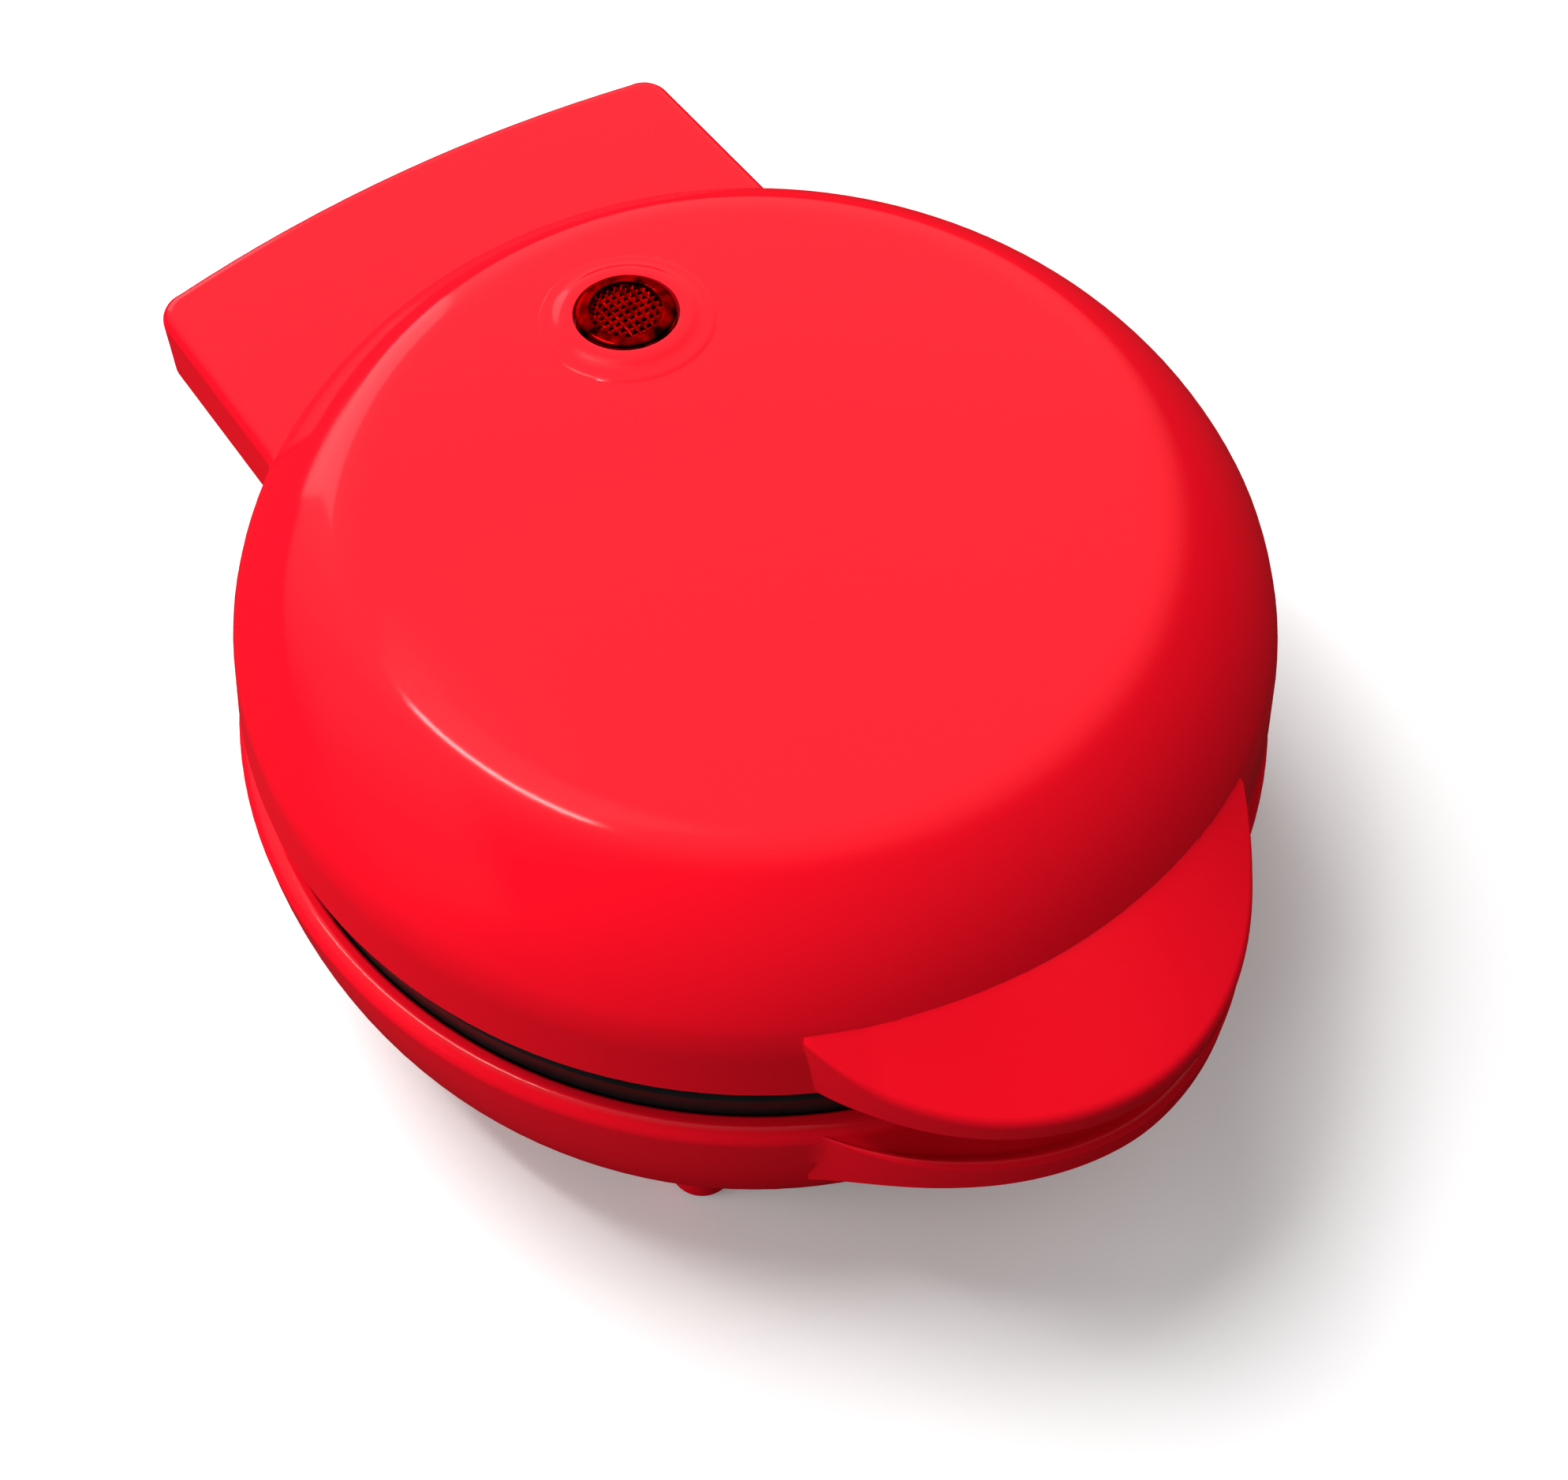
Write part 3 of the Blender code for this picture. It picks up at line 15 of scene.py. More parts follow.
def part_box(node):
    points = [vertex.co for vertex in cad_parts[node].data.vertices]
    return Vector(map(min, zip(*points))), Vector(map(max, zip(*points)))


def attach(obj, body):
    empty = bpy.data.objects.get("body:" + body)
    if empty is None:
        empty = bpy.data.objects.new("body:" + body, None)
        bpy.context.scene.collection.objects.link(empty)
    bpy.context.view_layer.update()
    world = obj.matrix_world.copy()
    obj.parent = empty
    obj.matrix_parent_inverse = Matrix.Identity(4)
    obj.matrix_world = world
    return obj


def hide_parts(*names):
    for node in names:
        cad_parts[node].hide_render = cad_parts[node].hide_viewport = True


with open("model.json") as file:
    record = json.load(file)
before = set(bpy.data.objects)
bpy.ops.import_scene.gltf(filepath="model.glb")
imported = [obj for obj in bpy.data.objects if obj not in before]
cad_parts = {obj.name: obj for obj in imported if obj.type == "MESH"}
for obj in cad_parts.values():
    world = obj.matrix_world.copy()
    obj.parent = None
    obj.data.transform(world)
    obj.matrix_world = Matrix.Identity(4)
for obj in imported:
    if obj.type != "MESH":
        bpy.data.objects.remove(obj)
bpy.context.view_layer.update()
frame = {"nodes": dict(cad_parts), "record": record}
MM = 0.001

# %% [markdown]
# The two housings share one upright axis, and the frame has moved it a little off the origin. The
# lower plate is round, so the middle of its box gives the axis. Everything below is modelled
# about that axis and moved onto it at the end, in the mesh itself.

# %% Find the axis and the hinge
plate_low, plate_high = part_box("lower_plate")
AXIS_Y = (plate_low[1] + plate_high[1]) / 2
PLATE_TOP = plate_high[2]
UPPER_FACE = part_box("upper_plate")[0][2]
PARTING = (PLATE_TOP + UPPER_FACE) / 2
print("axis at y =", round(AXIS_Y / MM, 2), "mm, plates meet at z =", round(PARTING / MM, 2), "mm")

# %% [markdown]
# The camera copies the photograph's: it was fitted to the outlines of the two rims, the tab and
# the hood. Its place, the point that it looks at and its focal length are real sizes here.

# %% Camera
CAMERA_PLACE = Vector((-105.35, -143.55, 295.10)) * MM
CAMERA_AIM = Vector((-7.68, -3.37, 42.0)) * MM
CAMERA_LENS_MM = 52.37
CAMERA_SHIFT = (0.0402, -0.0229)
CAMERA_SENSOR_MM = 36
CAMERA_NEAR = 10 * MM

camera_data = bpy.data.cameras.new("camera")
camera_data.lens = CAMERA_LENS_MM
camera_data.sensor_width = CAMERA_SENSOR_MM
camera_data.shift_x, camera_data.shift_y = CAMERA_SHIFT
camera_data.clip_start = CAMERA_NEAR
camera = bpy.data.objects.new("camera", camera_data)
bpy.context.scene.collection.objects.link(camera)
camera.location = CAMERA_PLACE + Vector((0, AXIS_Y, 0))
camera.rotation_euler = (CAMERA_AIM - CAMERA_PLACE).to_track_quat("-Z", "Y").to_euler()
bpy.context.scene.camera = camera
print("the camera looks from", round((CAMERA_PLACE - CAMERA_AIM).length / MM), "mm away")

# %% [markdown]
# The light is a studio's. A large soft key lamp stands high and a little behind, and gives the
# bright top and the soft shadow in front. A wide low lamp lights the left side, and a weak one
# lifts the right edge out of the dark. A long thin strip lamp draws the fine bright line on the
# lid's crown, and a low one at the back gives the broad sheen at its far left. The key, side and
# rim lamps stay out of the gloss, so that the line isn't lost in a smear.

# %% Lamps
LAMP_DISTANCE = 1.0
ACROSS = (1, 0, 0)
LAMPS = (  # name, way to it, way of its width, width, height, watts, shown in the gloss
    ("key_lamp", (-0.16, 0.33, 0.93), ACROSS, 0.46, 0.46, 8.3, False),
    ("side_lamp", (-0.92, 0.28, 0.30), ACROSS, 0.75, 0.75, 5.4, False),
    ("rim_lamp", (0.85, 0.45, 0.25), ACROSS, 0.5, 0.5, 2.0, False),
    ("strip_lamp", (-0.33, 0.27, 0.90), (0.13, -0.51, 0.18), 0.42, 0.035, 1.5, True),
    ("back_lamp", (-0.06, 0.96, 0.26), ACROSS, 0.50, 0.50, 1.0, True),
)

for name, way, width_way, width, height, power, in_gloss in LAMPS:
    way, width_way = Vector(way).normalized(), Vector(width_way).normalized()
    data = bpy.data.lights.new(name, "AREA")
    data.shape = "RECTANGLE"
    data.size, data.size_y = width, height
    data.energy = power
    lamp = bpy.data.objects.new(name, data)
    bpy.context.scene.collection.objects.link(lamp)
    across = (width_way - way * width_way.dot(way)).normalized()
    turn = Matrix((across, way.cross(across), way)).transposed()
    lamp.matrix_world = Matrix.Translation(way * LAMP_DISTANCE) @ turn.to_4x4()
    lamp.visible_glossy = in_gloss
print("lamps:", ", ".join(lamp[0] for lamp in LAMPS))

# %% [markdown]
# The room, the floor and the finishes are small networks of shader nodes. One helper adds a node:
# an input gets either a value or a link from another node's output. Two more helpers cover the
# nodes needed most.

# %% Helpers for shader nodes


def add_node(tree, kind, inputs, **settings):
    made = tree.nodes.new("ShaderNode" + kind)
    for name, value in settings.items():
        setattr(made, name, value)
    for socket, value in inputs.items():
        if isinstance(value, bpy.types.NodeSocket):
            tree.links.new(value, made.inputs[socket])
        else:
            made.inputs[socket].default_value = value
    return made.outputs


def mapped(tree, value, low, high, start=0, end=1, kind="LINEAR"):
    """Turns a value between start and end into one between low and high."""
    inputs = {"Value": value, "From Min": start, "From Max": end, "To Min": low, "To Max": high}
    return add_node(tree, "MapRange", inputs, interpolation_type=kind)["Result"]


def seen_plainly(tree, path):
    """1 for what the camera or glass sees, 0 for all other light."""
    sockets = {0: path["Is Camera Ray"], 1: path["Is Transmission Ray"]}
    return add_node(tree, "Math", sockets, operation="MAXIMUM")["Value"]


# %% [markdown]
# The room gives an even weak light. The camera and glass see it white. In the gloss it is bright
# overhead and at the back, and falls off to dark at the front and near the floor, so that no hard
# line of a horizon runs round the shoulder.

# %% Room
ROOM_STRENGTH = 0.27
CEILING_WAY = (0.15, 0.65, 0.75)
CEILING_EDGE, CEILING_FULL = 0.22, 0.92
CEILING_WHITE = 0.95

world = bpy.data.worlds.new("room")
bpy.context.scene.world = world
world.use_nodes = True
tree = world.node_tree
room = tree.nodes["Background"]
room.inputs["Color"].default_value = (1, 1, 1, 1)
path = add_node(tree, "LightPath", {})
way = add_node(tree, "TexCoord", {})["Generated"]
toward = add_node(tree, "VectorMath", {0: way, 1: CEILING_WAY}, operation="DOT_PRODUCT")
ceiling = mapped(tree, toward["Value"], 0, CEILING_WHITE, CEILING_EDGE, CEILING_FULL, "SMOOTHSTEP")
gloss = mapped(tree, path["Is Glossy Ray"], ROOM_STRENGTH, ceiling)
tree.links.new(mapped(tree, seen_plainly(tree, path), gloss, 1), room.inputs["Strength"])
bpy.context.scene.view_settings.view_transform = "Standard"
print("the room lights the part at", ROOM_STRENGTH, "and mirrors at up to", CEILING_WHITE)

# %% [markdown]
# The floor takes the shadow as a plain matt surface. To the camera it is white. To the light that
# bounces off it, it is a darker grey, so that the undersides stay deep red. Far from the lamps it
# glows, so that it is white to its edge.

# %% Floor
FLOOR_SIZE = 6.0
FLOOR_DROP = 0.05 * MM
FLOOR_WHITE = 0.90
FLOOR_BOUNCE = 0.20
FLOOR_MIRRORED = 0.02
FLOOR_GLOW = 0.10
GLOW_FROM, GLOW_FULL = 0.25, 1.10

bpy.ops.mesh.primitive_plane_add(size=FLOOR_SIZE, location=(0, 0, -FLOOR_DROP))
floor = bpy.context.object
floor.name = "floor"
floor_material = bpy.data.materials.new("floor_white")
floor_material.use_nodes = True
tree = floor_material.node_tree
shader = tree.nodes["Principled BSDF"]
shader.inputs["Roughness"].default_value = 1
shader.inputs["Specular IOR Level"].default_value = 0
path = add_node(tree, "LightPath", {})
dim = mapped(tree, path["Is Glossy Ray"], FLOOR_BOUNCE, FLOOR_MIRRORED)
shade = mapped(tree, seen_plainly(tree, path), dim, FLOOR_WHITE)
tree.links.new(shade, shader.inputs["Base Color"])
spot = add_node(tree, "TexCoord", {})["Object"]
away = add_node(tree, "VectorMath", {0: spot}, operation="LENGTH")["Value"]
far = mapped(tree, away, FLOOR_GLOW, 1, GLOW_FROM, GLOW_FULL, "SMOOTHSTEP")
glow = add_node(tree, "Math", {0: path["Is Camera Ray"], 1: far}, operation="MULTIPLY")
shader.inputs["Emission Color"].default_value = (1, 1, 1, 1)
tree.links.new(glow["Value"], shader.inputs["Emission Strength"])
floor.data.materials.append(floor_material)
print("the floor is", FLOOR_SIZE, "m wide")

# %% [markdown]
# A finish is more than one colour. Every finish here starts as a Principled shader, and gets a
# change of colour, a roughness that varies and a fine bump, each from a noise on the Object
# coordinates. On most finishes the change of colour is a faint real tone. On the lens it is strong,
# and is painted glints and painted shade. The pattern then keeps its real size on every piece.

# %% A helper for finishes
TINT_FROM, TINT_TO = 0.35, 0.65
BROAD_DETAIL, FINE_DETAIL = 3, 2
SMOOTHEST = 0.02
GRAIN_DEPTH = 0.1 * MM


def finish(name, colour, roughness, metallic=0.0, tone_and_glints=0.06, tone_and_glints_mm=14.0, rough_change=0.05,
           bump=0.02, grain_mm=0.5, **sockets):
    made = bpy.data.materials.new(name)
    made.use_nodes = True
    made.diffuse_color = (*colour, 1)
    tree = made.node_tree
    shader = tree.nodes["Principled BSDF"]
    shader.inputs["Metallic"].default_value = metallic
    for socket, value in sockets.items():
        shader.inputs[socket.replace("_", " ")].default_value = value
    place = add_node(tree, "TexCoord", {})["Object"]
    broad = add_node(tree, "TexNoise", {"Vector": place, "Scale": 1 / (tone_and_glints_mm * MM),
                                        "Detail": BROAD_DETAIL})["Fac"]
    tint = tree.nodes.new("ShaderNodeValToRGB")
    darker, lighter = tint.color_ramp.elements
    darker.position, lighter.position = TINT_FROM, TINT_TO
    darker.color = (*[c * (1 - tone_and_glints) for c in colour], 1)
    lighter.color = (*[min(c * (1 + tone_and_glints), 1) for c in colour], 1)
    tree.links.new(broad, tint.inputs["Fac"])
    tree.links.new(tint.outputs["Color"], shader.inputs["Base Color"])
    least, most = max(roughness - rough_change, SMOOTHEST), min(roughness + rough_change, 1)
    spread = mapped(tree, broad, least, most)
    tree.links.new(spread, shader.inputs["Roughness"])
    if bump:
        fine = add_node(tree, "TexNoise", {"Vector": place, "Scale": 1 / (grain_mm * MM),
                                           "Detail": FINE_DETAIL})["Fac"]
        relief = add_node(tree, "Bump", {"Strength": bump, "Distance": GRAIN_DEPTH, "Height": fine})
        tree.links.new(relief["Normal"], shader.inputs["Normal"])
    return made


# %% [markdown]
# The housings are a glossy red moulding: a matt body of a very pure red, with green and blue near
# zero, under a thin clear coat that mirrors the ceiling as a faint pink. A slow, shallow bump
# stands for the slight waviness that any large moulding has. The plates have a black coating,
# satin and finely speckled. The lens is made as tinted metal, because real lens prisms throw the
# light back red and bright beside nearly black, and a plain gloss would show them grey. Its colour
# is also painted in strong light and dark blotches: painted glints and painted shade, which stand
# for that light thrown back.

# %% Finishes of the mouldings, plates and lens
RED_GLOSS = finish("red_gloss", (0.88, 0.0042, 0.016), 0.13, tone_and_glints=0.012, tone_and_glints_mm=30,
                   rough_change=0.02, bump=0.008, grain_mm=1.6, Specular_IOR_Level=0.0,
                   Coat_Weight=0.5, Coat_Roughness=0.11)
BLACK_COATING = finish("black_coating", (0.012, 0.012, 0.0125), 0.32, tone_and_glints=0.15, tone_and_glints_mm=6,
                       rough_change=0.05, bump=0.16, grain_mm=0.22, Specular_IOR_Level=0.30)
# The lens's ring and field get strong blotches of colour, light and dark: painted glints and painted
# shade.
RED_EDGE = (1.0, 0.05, 0.05, 1)
LENS_RING_PAINTED_GLINTS = finish("lens_ring", (0.20, 0.0010, 0.0010), 0.14, metallic=1.0, tone_and_glints=0.95,
                   tone_and_glints_mm=2.6, rough_change=0.04, bump=0.0, Specular_Tint=RED_EDGE)
LENS_FIELD_PAINTED_GLINTS = finish("lens_field", (0.42, 0.0016, 0.0012), 0.20, metallic=1.0, tone_and_glints=0.5,
                    tone_and_glints_mm=1.4, rough_change=0.04, bump=0.0, Specular_Tint=RED_EDGE)
print("finishes so far:", ", ".join(material.name for material in bpy.data.materials))

# %% [markdown]
# The pieces inside are plain trade parts: plated screws and pins, the grey sheath of the heating
# elements, bright pressed shields, dark nylon, rubber pads, white ceramic and sleeved leads.

# %% Finishes of the small pieces
STEEL = finish("plated_steel", (0.60, 0.60, 0.60), 0.26, metallic=1.0, tone_and_glints=0.05, tone_and_glints_mm=1.2,
               bump=0.03, grain_mm=0.2)
SHEATH = finish("element_sheath", (0.19, 0.185, 0.175), 0.48, metallic=0.85, tone_and_glints=0.25,
                tone_and_glints_mm=5, bump=0.08, grain_mm=0.3)
SHIELD = finish("aluminised_sheet", (0.66, 0.66, 0.67), 0.36, metallic=1.0, tone_and_glints=0.07,
                tone_and_glints_mm=3, bump=0.05, grain_mm=0.4)
NYLON = finish("dark_nylon", (0.022, 0.022, 0.023), 0.52, tone_and_glints=0.12, tone_and_glints_mm=3,
               bump=0.12, grain_mm=0.15)
RUBBER = finish("foot_rubber", (0.028, 0.027, 0.026), 0.80, tone_and_glints=0.15, tone_and_glints_mm=2,
                bump=0.25, grain_mm=0.12)
CERAMIC = finish("ceramic", (0.78, 0.75, 0.68), 0.42, tone_and_glints=0.04, tone_and_glints_mm=4,
                 bump=0.08, grain_mm=0.2)
SLEEVING = finish("lead_sleeving", (0.80, 0.78, 0.73), 0.68, tone_and_glints=0.08, tone_and_glints_mm=1,
                  bump=0.5, grain_mm=0.18)
GLASS = finish("lamp_glass", (0.95, 0.75, 0.62), 0.04, tone_and_glints=0.02, rough_change=0.01,
               bump=0.0, Transmission_Weight=1.0)
print("all finishes:", ", ".join(material.name for material in bpy.data.materials))

# %% [markdown]
# Most of this object is turned work, so the first helper spins an outline about the axis. An
# outline is a list of (radius, height) points. The spin leaves doubled points on the axis and at
# the seam, so they are merged, and the normals are recalculated afterwards.

# %% Helpers to select and to spin
MERGE = 0.002 * MM


def only(obj):
    bpy.ops.object.select_all(action="DESELECT")
    obj.select_set(True)
    bpy.context.view_layer.objects.active = obj


def new_object(name, points, edges=(), faces=()):
    mesh = bpy.data.meshes.new(name)
    mesh.from_pydata([tuple(p) for p in points], edges, faces)
    obj = bpy.data.objects.new(name, mesh)
    bpy.context.scene.collection.objects.link(obj)
    return obj


def edit(obj, *jobs):
    """Runs each (operator, settings) on the whole mesh."""
    only(obj)
    bpy.ops.object.mode_set(mode="EDIT")
    bpy.ops.mesh.select_all(action="SELECT")
    for job, settings in jobs:
        job(**settings)
    bpy.ops.object.mode_set(mode="OBJECT")
    return obj


def clean(obj):
    return edit(obj, (bpy.ops.mesh.remove_doubles, {"threshold": MERGE}),
                (bpy.ops.mesh.normals_make_consistent, {"inside": False}))


def spun(name, outline, steps, centre=(0, 0)):
    points = [(r + centre[0], centre[1], z) for r, z in outline]
    count = len(points)
    edges = [(i, (i + 1) % count) for i in range(count) if outline[i][0] or outline[(i + 1) % count][0]]
    obj = new_object(name, points, edges)
    turn = {"steps": steps, "angle": math.tau, "center": (*centre, 0), "axis": (0, 0, 1)}
    return clean(edit(obj, (bpy.ops.mesh.spin, turn)))


# %% [markdown]
# What isn't turned is lofted: rings of equally many points are joined one after another, and the
# first and last are capped. Bars and boxes are the two shapes needed most, to add and to cut.

# %% Helpers to loft, and for bars and boxes


def lofted(name, rings):
    count = len(rings[0])
    faces = []
    for level in range(len(rings) - 1):
        for i in range(count):
            j = (i + 1) % count
            a, b = level * count, (level + 1) * count
            faces.append((a + i, a + j, b + j, b + i))
    faces.append(tuple(range(count)))
    faces.append(tuple(range((len(rings) - 1) * count, len(rings) * count)))
    return clean(new_object(name, [p for ring in rings for p in ring], faces=faces))


def bar(name, radius, low, high, centre, steps=32):
    return spun(name, [(0, low), (radius, low), (radius, high), (0, high)], steps, centre)


def lying_bar(name, radius, low_x, high_x, y, z, steps=32):
    obj = spun(name, [(0, low_x), (radius, low_x), (radius, high_x), (0, high_x)], steps)
    obj.data.transform(Matrix.Translation((0, y, z)) @ Matrix.Rotation(math.pi / 2, 4, "Y"))
    return obj


def box_between(name, low, high):
    bpy.ops.mesh.primitive_cube_add(size=1)
    obj = bpy.context.object
    obj.name = name
    size = Vector(high) - Vector(low)
    middle = (Vector(high) + Vector(low)) / 2
    obj.data.transform(Matrix.Translation(middle) @ Matrix.Diagonal((*size, 1)))
    return obj


# %% [markdown]
# Shapes are joined and cut with the exact Boolean solver, which is slow but keeps faces that
# nearly coincide closed. The tool is deleted once it has been used.

# %% Helpers to join and cut


def combine(target, tool, operation):
    step = target.modifiers.new("join", "BOOLEAN")
    step.operation = operation
    step.object = tool
    step.solver = "EXACT"
    only(target)
    bpy.ops.object.modifier_apply(modifier=step.name)
    bpy.data.objects.remove(tool)
    return target


def add(target, tool):
    return combine(target, tool, "UNION")


def cut(target, tool):
    return combine(target, tool, "DIFFERENCE")


# %% [markdown]
# A finished piece is moved onto the axis in its mesh, so its object stays at the origin. It is
# shaded smooth up to an angle, with normals weighted by face size, which keeps the long thin
# faces that a Boolean leaves from showing as streaks.

# %% A helper to finish a piece
SMOOTH_ANGLE = math.radians(32)
BEVEL_ANGLE = math.radians(40)


def round_edges(obj, width, segments=2, angle=BEVEL_ANGLE):
    step = obj.modifiers.new("soft_edges", "BEVEL")
    step.width = width
    step.segments = segments
    step.limit_method = "ANGLE"
    step.angle_limit = angle
    step.use_clamp_overlap = True
    only(obj)
    bpy.ops.object.modifier_apply(modifier=step.name)
    return obj


def finished(obj, material, body, slot, *nodes, shift=True):
    if shift:
        obj.data.transform(Matrix.Translation((0, AXIS_Y, 0)))
    only(obj)
    bpy.ops.object.shade_smooth_by_angle(angle=SMOOTH_ANGLE)
    weigh = obj.modifiers.new("weighted_normals", "WEIGHTED_NORMAL")
    weigh.keep_sharp = True
    bpy.ops.object.modifier_apply(modifier=weigh.name)
    obj.data.materials.clear()
    obj.data.materials.append(material)
    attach(obj, body)
    if nodes:
        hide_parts(*nodes)
    print(obj.name, "has", len(obj.data.polygons), "faces")
    return obj


# %% [markdown]
# An outline's corners are rounded by arcs that touch both sides, as a draughtsman would. A second
# helper moves an outline sideways by the wall's thickness, which gives the inside of a shell.

# %% Helpers for outlines
STRAIGHT = math.radians(89.5)
LEAST_RUN = 0.001 * MM
LEAST_COSINE = 0.5


def arc(centre, radius, start, end, count):
    turns = [math.radians(start + (end - start) * i / (count - 1)) for i in range(count)]
    return [(centre[0] + radius * math.cos(a), centre[1] + radius * math.sin(a)) for a in turns]


def rounded(points, radii, count):
    made = [points[0]]
    for before, corner, after, radius in zip(points, points[1:], points[2:], radii):
        here = Vector(corner)
        back = (Vector(before) - here).normalized()
        ahead = (Vector(after) - here).normalized()
        half = back.angle(ahead) / 2
        if not radius or half > STRAIGHT:
            made.append(tuple(corner))
            continue
        reach = radius / math.tan(half)
        middle = here + (back + ahead).normalized() * radius / math.sin(half)
        first, last = here + back * reach - middle, here + ahead * reach - middle
        for i in range(count):
            spoke = first.lerp(last, i / (count - 1)).normalized() * radius
            made.append(tuple(middle + spoke))
    return made + [tuple(points[-1])]


def shifted(points, distance):
    made = []
    for i, point in enumerate(points):
        before = Vector(points[max(i - 1, 0)])
        here = Vector(point)
        after = Vector(points[min(i + 1, len(points) - 1)])
        sides = []
        for run in (here - before, after - here):
            if run.length > LEAST_RUN:
                run.normalize()
                sides.append(Vector((run.y, -run.x)))
        normal = (sides[0] + sides[-1]).normalized()
        made.append(tuple(here + normal * distance / max(normal.dot(sides[0]), LEAST_COSINE)))
    return made


# %% [markdown]
# The lid's dome is one turned shape: an upright skirt, a bulging shoulder and an almost flat
# crown. Both bends are soft, and the upper one is what catches the bright line of the lamp. The
# sizes are those of the frame, with many more points on each curve.

# %% The lid's outline
LID_R, RIM_Z = 68.0 * MM, 51.3 * MM
SKIRT_R, SKIRT_Z = 66.8 * MM, 61.3 * MM
CROWN_R, CROWN_Z = 50.7 * MM, 78.4 * MM
DOME_RISE = 1.6 * MM
DOME_TOP = CROWN_Z + DOME_RISE
BULGE = 1.9 * MM
SHOULDER_STEPS, DOME_STEPS = 12, 8


def lid_outline():
    foot, head = Vector((SKIRT_R, SKIRT_Z)), Vector((CROWN_R, CROWN_Z))
    chord = head - foot
    outward = Vector((chord.y, -chord.x)).normalized()
    shoulder = []
    for i in range(1, SHOULDER_STEPS):
        share = i / SHOULDER_STEPS
        shoulder.append(tuple(foot + chord * share + outward * BULGE * 4 * share * (1 - share)))
    dome = []
    for i in range(DOME_STEPS):
        share = 1 - (i + 1) / DOME_STEPS
        dome.append((CROWN_R * share, CROWN_Z + DOME_RISE * (1 - share * share)))
    line = [(LID_R, RIM_Z), (SKIRT_R, SKIRT_Z)] + shoulder + [(CROWN_R, CROWN_Z)] + dome
    return soften(line)


# %% [markdown]
# The two bends run over several short sides, where a fillet has no room. So the line is smoothed
# instead: each new point is the average of a window of the old line, which is widest at the bends.

# %% Soften the lid's outline
SKIRT_BEND, CROWN_BEND = 3.2 * MM, 3.0 * MM
LEAST_BEND = 0.35 * MM
LINE_STEPS, LINE_CROWDING = 64, 1.35
WINDOW = 6


def along(line):
    lengths = [0.0]
    for a, b in zip(line, line[1:]):
        lengths.append(lengths[-1] + (Vector(b) - Vector(a)).length)
    return lengths


def point_at(line, lengths, s):
    s = min(max(s, 0), lengths[-1])
    for i in range(len(lengths) - 1):
        if s <= lengths[i + 1]:
            share = (s - lengths[i]) / (lengths[i + 1] - lengths[i])
            return Vector(line[i]).lerp(Vector(line[i + 1]), share)
    return Vector(line[-1])


def soften(line):
    lengths = along(line)
    bends = ((lengths[1], SKIRT_BEND), (lengths[1 + SHOULDER_STEPS], CROWN_BEND))
    made = [tuple(line[0])]
    for i in range(1, LINE_STEPS):
        s = lengths[-1] * (i / LINE_STEPS) ** LINE_CROWDING
        reach = LEAST_BEND
        for bend_s, bend in bends:
            reach = max(reach, bend * (1 - min(abs(s - bend_s) / (2 * bend), 1)))
        reach = min(reach, s, lengths[-1] - s)
        count = 2 * WINDOW + 1
        window = [point_at(line, lengths, s + reach * (k / WINDOW - 1)) for k in range(count)]
        made.append(tuple(sum(window, Vector((0, 0))) / count))
    return made + [(0, DOME_TOP)]


# %% [markdown]
# The dome is spun from that line. The same call with an inset gives its hollow, since a wall of
# one thickness is the outer line moved inwards.

# %% The dome, solid or hollow
WALL = 2.2 * MM
GAP = 0.3 * MM
LONG = 2.0 * MM
ROUND = 144
OFF_AXIS = 0.02 * MM


def lid_solid(name, inset, drop=0.0):
    line = shifted(lid_outline(), -inset)
    bottom = RIM_Z - drop
    middle = [(max(r, OFF_AXIS), z) for r, z in line[1:-1]]
    return spun(name, [(0, bottom), (line[0][0], bottom)] + middle + [(0, DOME_TOP - inset)], ROUND)


print("the lid is", 2 * LID_R / MM, "mm across and its dome tops out at", DOME_TOP / MM, "mm")

# %% [markdown]
# The tab's outline is a super-ellipse, a curve between an ellipse and a box. It is walked from
# where it leaves the skirt on one side to where it meets it on the other, and each stop is kept
# as an angle and a reach from the axis.

# %% Walk an outline round the axis
STATIONS = 72
HALVINGS = 40


def stations(centre, half, reach, power, root_r):
    def point(turn):
        x = centre[0] + half * abs(math.cos(turn)) ** (2 / power) * math.copysign(1, math.cos(turn))
        return x, centre[1] - reach * abs(math.sin(turn)) ** (2 / power)

    def root(start, end):
        for _ in range(HALVINGS):
            middle = (start + end) / 2
            if math.hypot(*point(middle)) < root_r:
                start = middle
            else:
                end = middle
        return end

    first, last = root(0.0, math.pi / 2), root(math.pi, math.pi / 2)
    made = []
    for i in range(STATIONS + 1):
        x, y = point(first + (last - first) * i / STATIONS)
        made.append((math.atan2(y, x), math.hypot(x, y)))
    return made


def swept(name, places, section):
    rings = []
    for angle, r_out in places:
        rings.append([(r * math.cos(angle), r * math.sin(angle), z) for r, z in section(r_out)])
    return lofted(name, rings)


# %% [markdown]
# The tab's top slopes from the skirt to a thin rounded edge. The edge climbs where it runs into
# the skirt, and the slope there has a limit, so both roots end softly. A section is written once,
# as a function of how far the outline reaches, and repeated at every stop.

# %% The tab
TAB_X, TAB_Y = -1.6 * MM, -43.75 * MM
TAB_HALF, TAB_REACH, TAB_POWER = 35.0 * MM, 38.63 * MM, 1.92
TAB_ROOT_Z, TAB_CORNER_Z, TAB_EDGE_Z = 63.0 * MM, 62.3 * MM, 56.8 * MM
TAB_FLARE, TAB_FLARE_POWER = 13.0 * MM, 1.4
TAB_SLOPE, TAB_SLOPE_POWER = 0.85, 4
TAB_EDGE_ROUND = 2.0 * MM
TAB_WALL = 2.4 * MM
TAB_UNDER_SHARE = 0.5
TAB_TOP_STEPS = 6


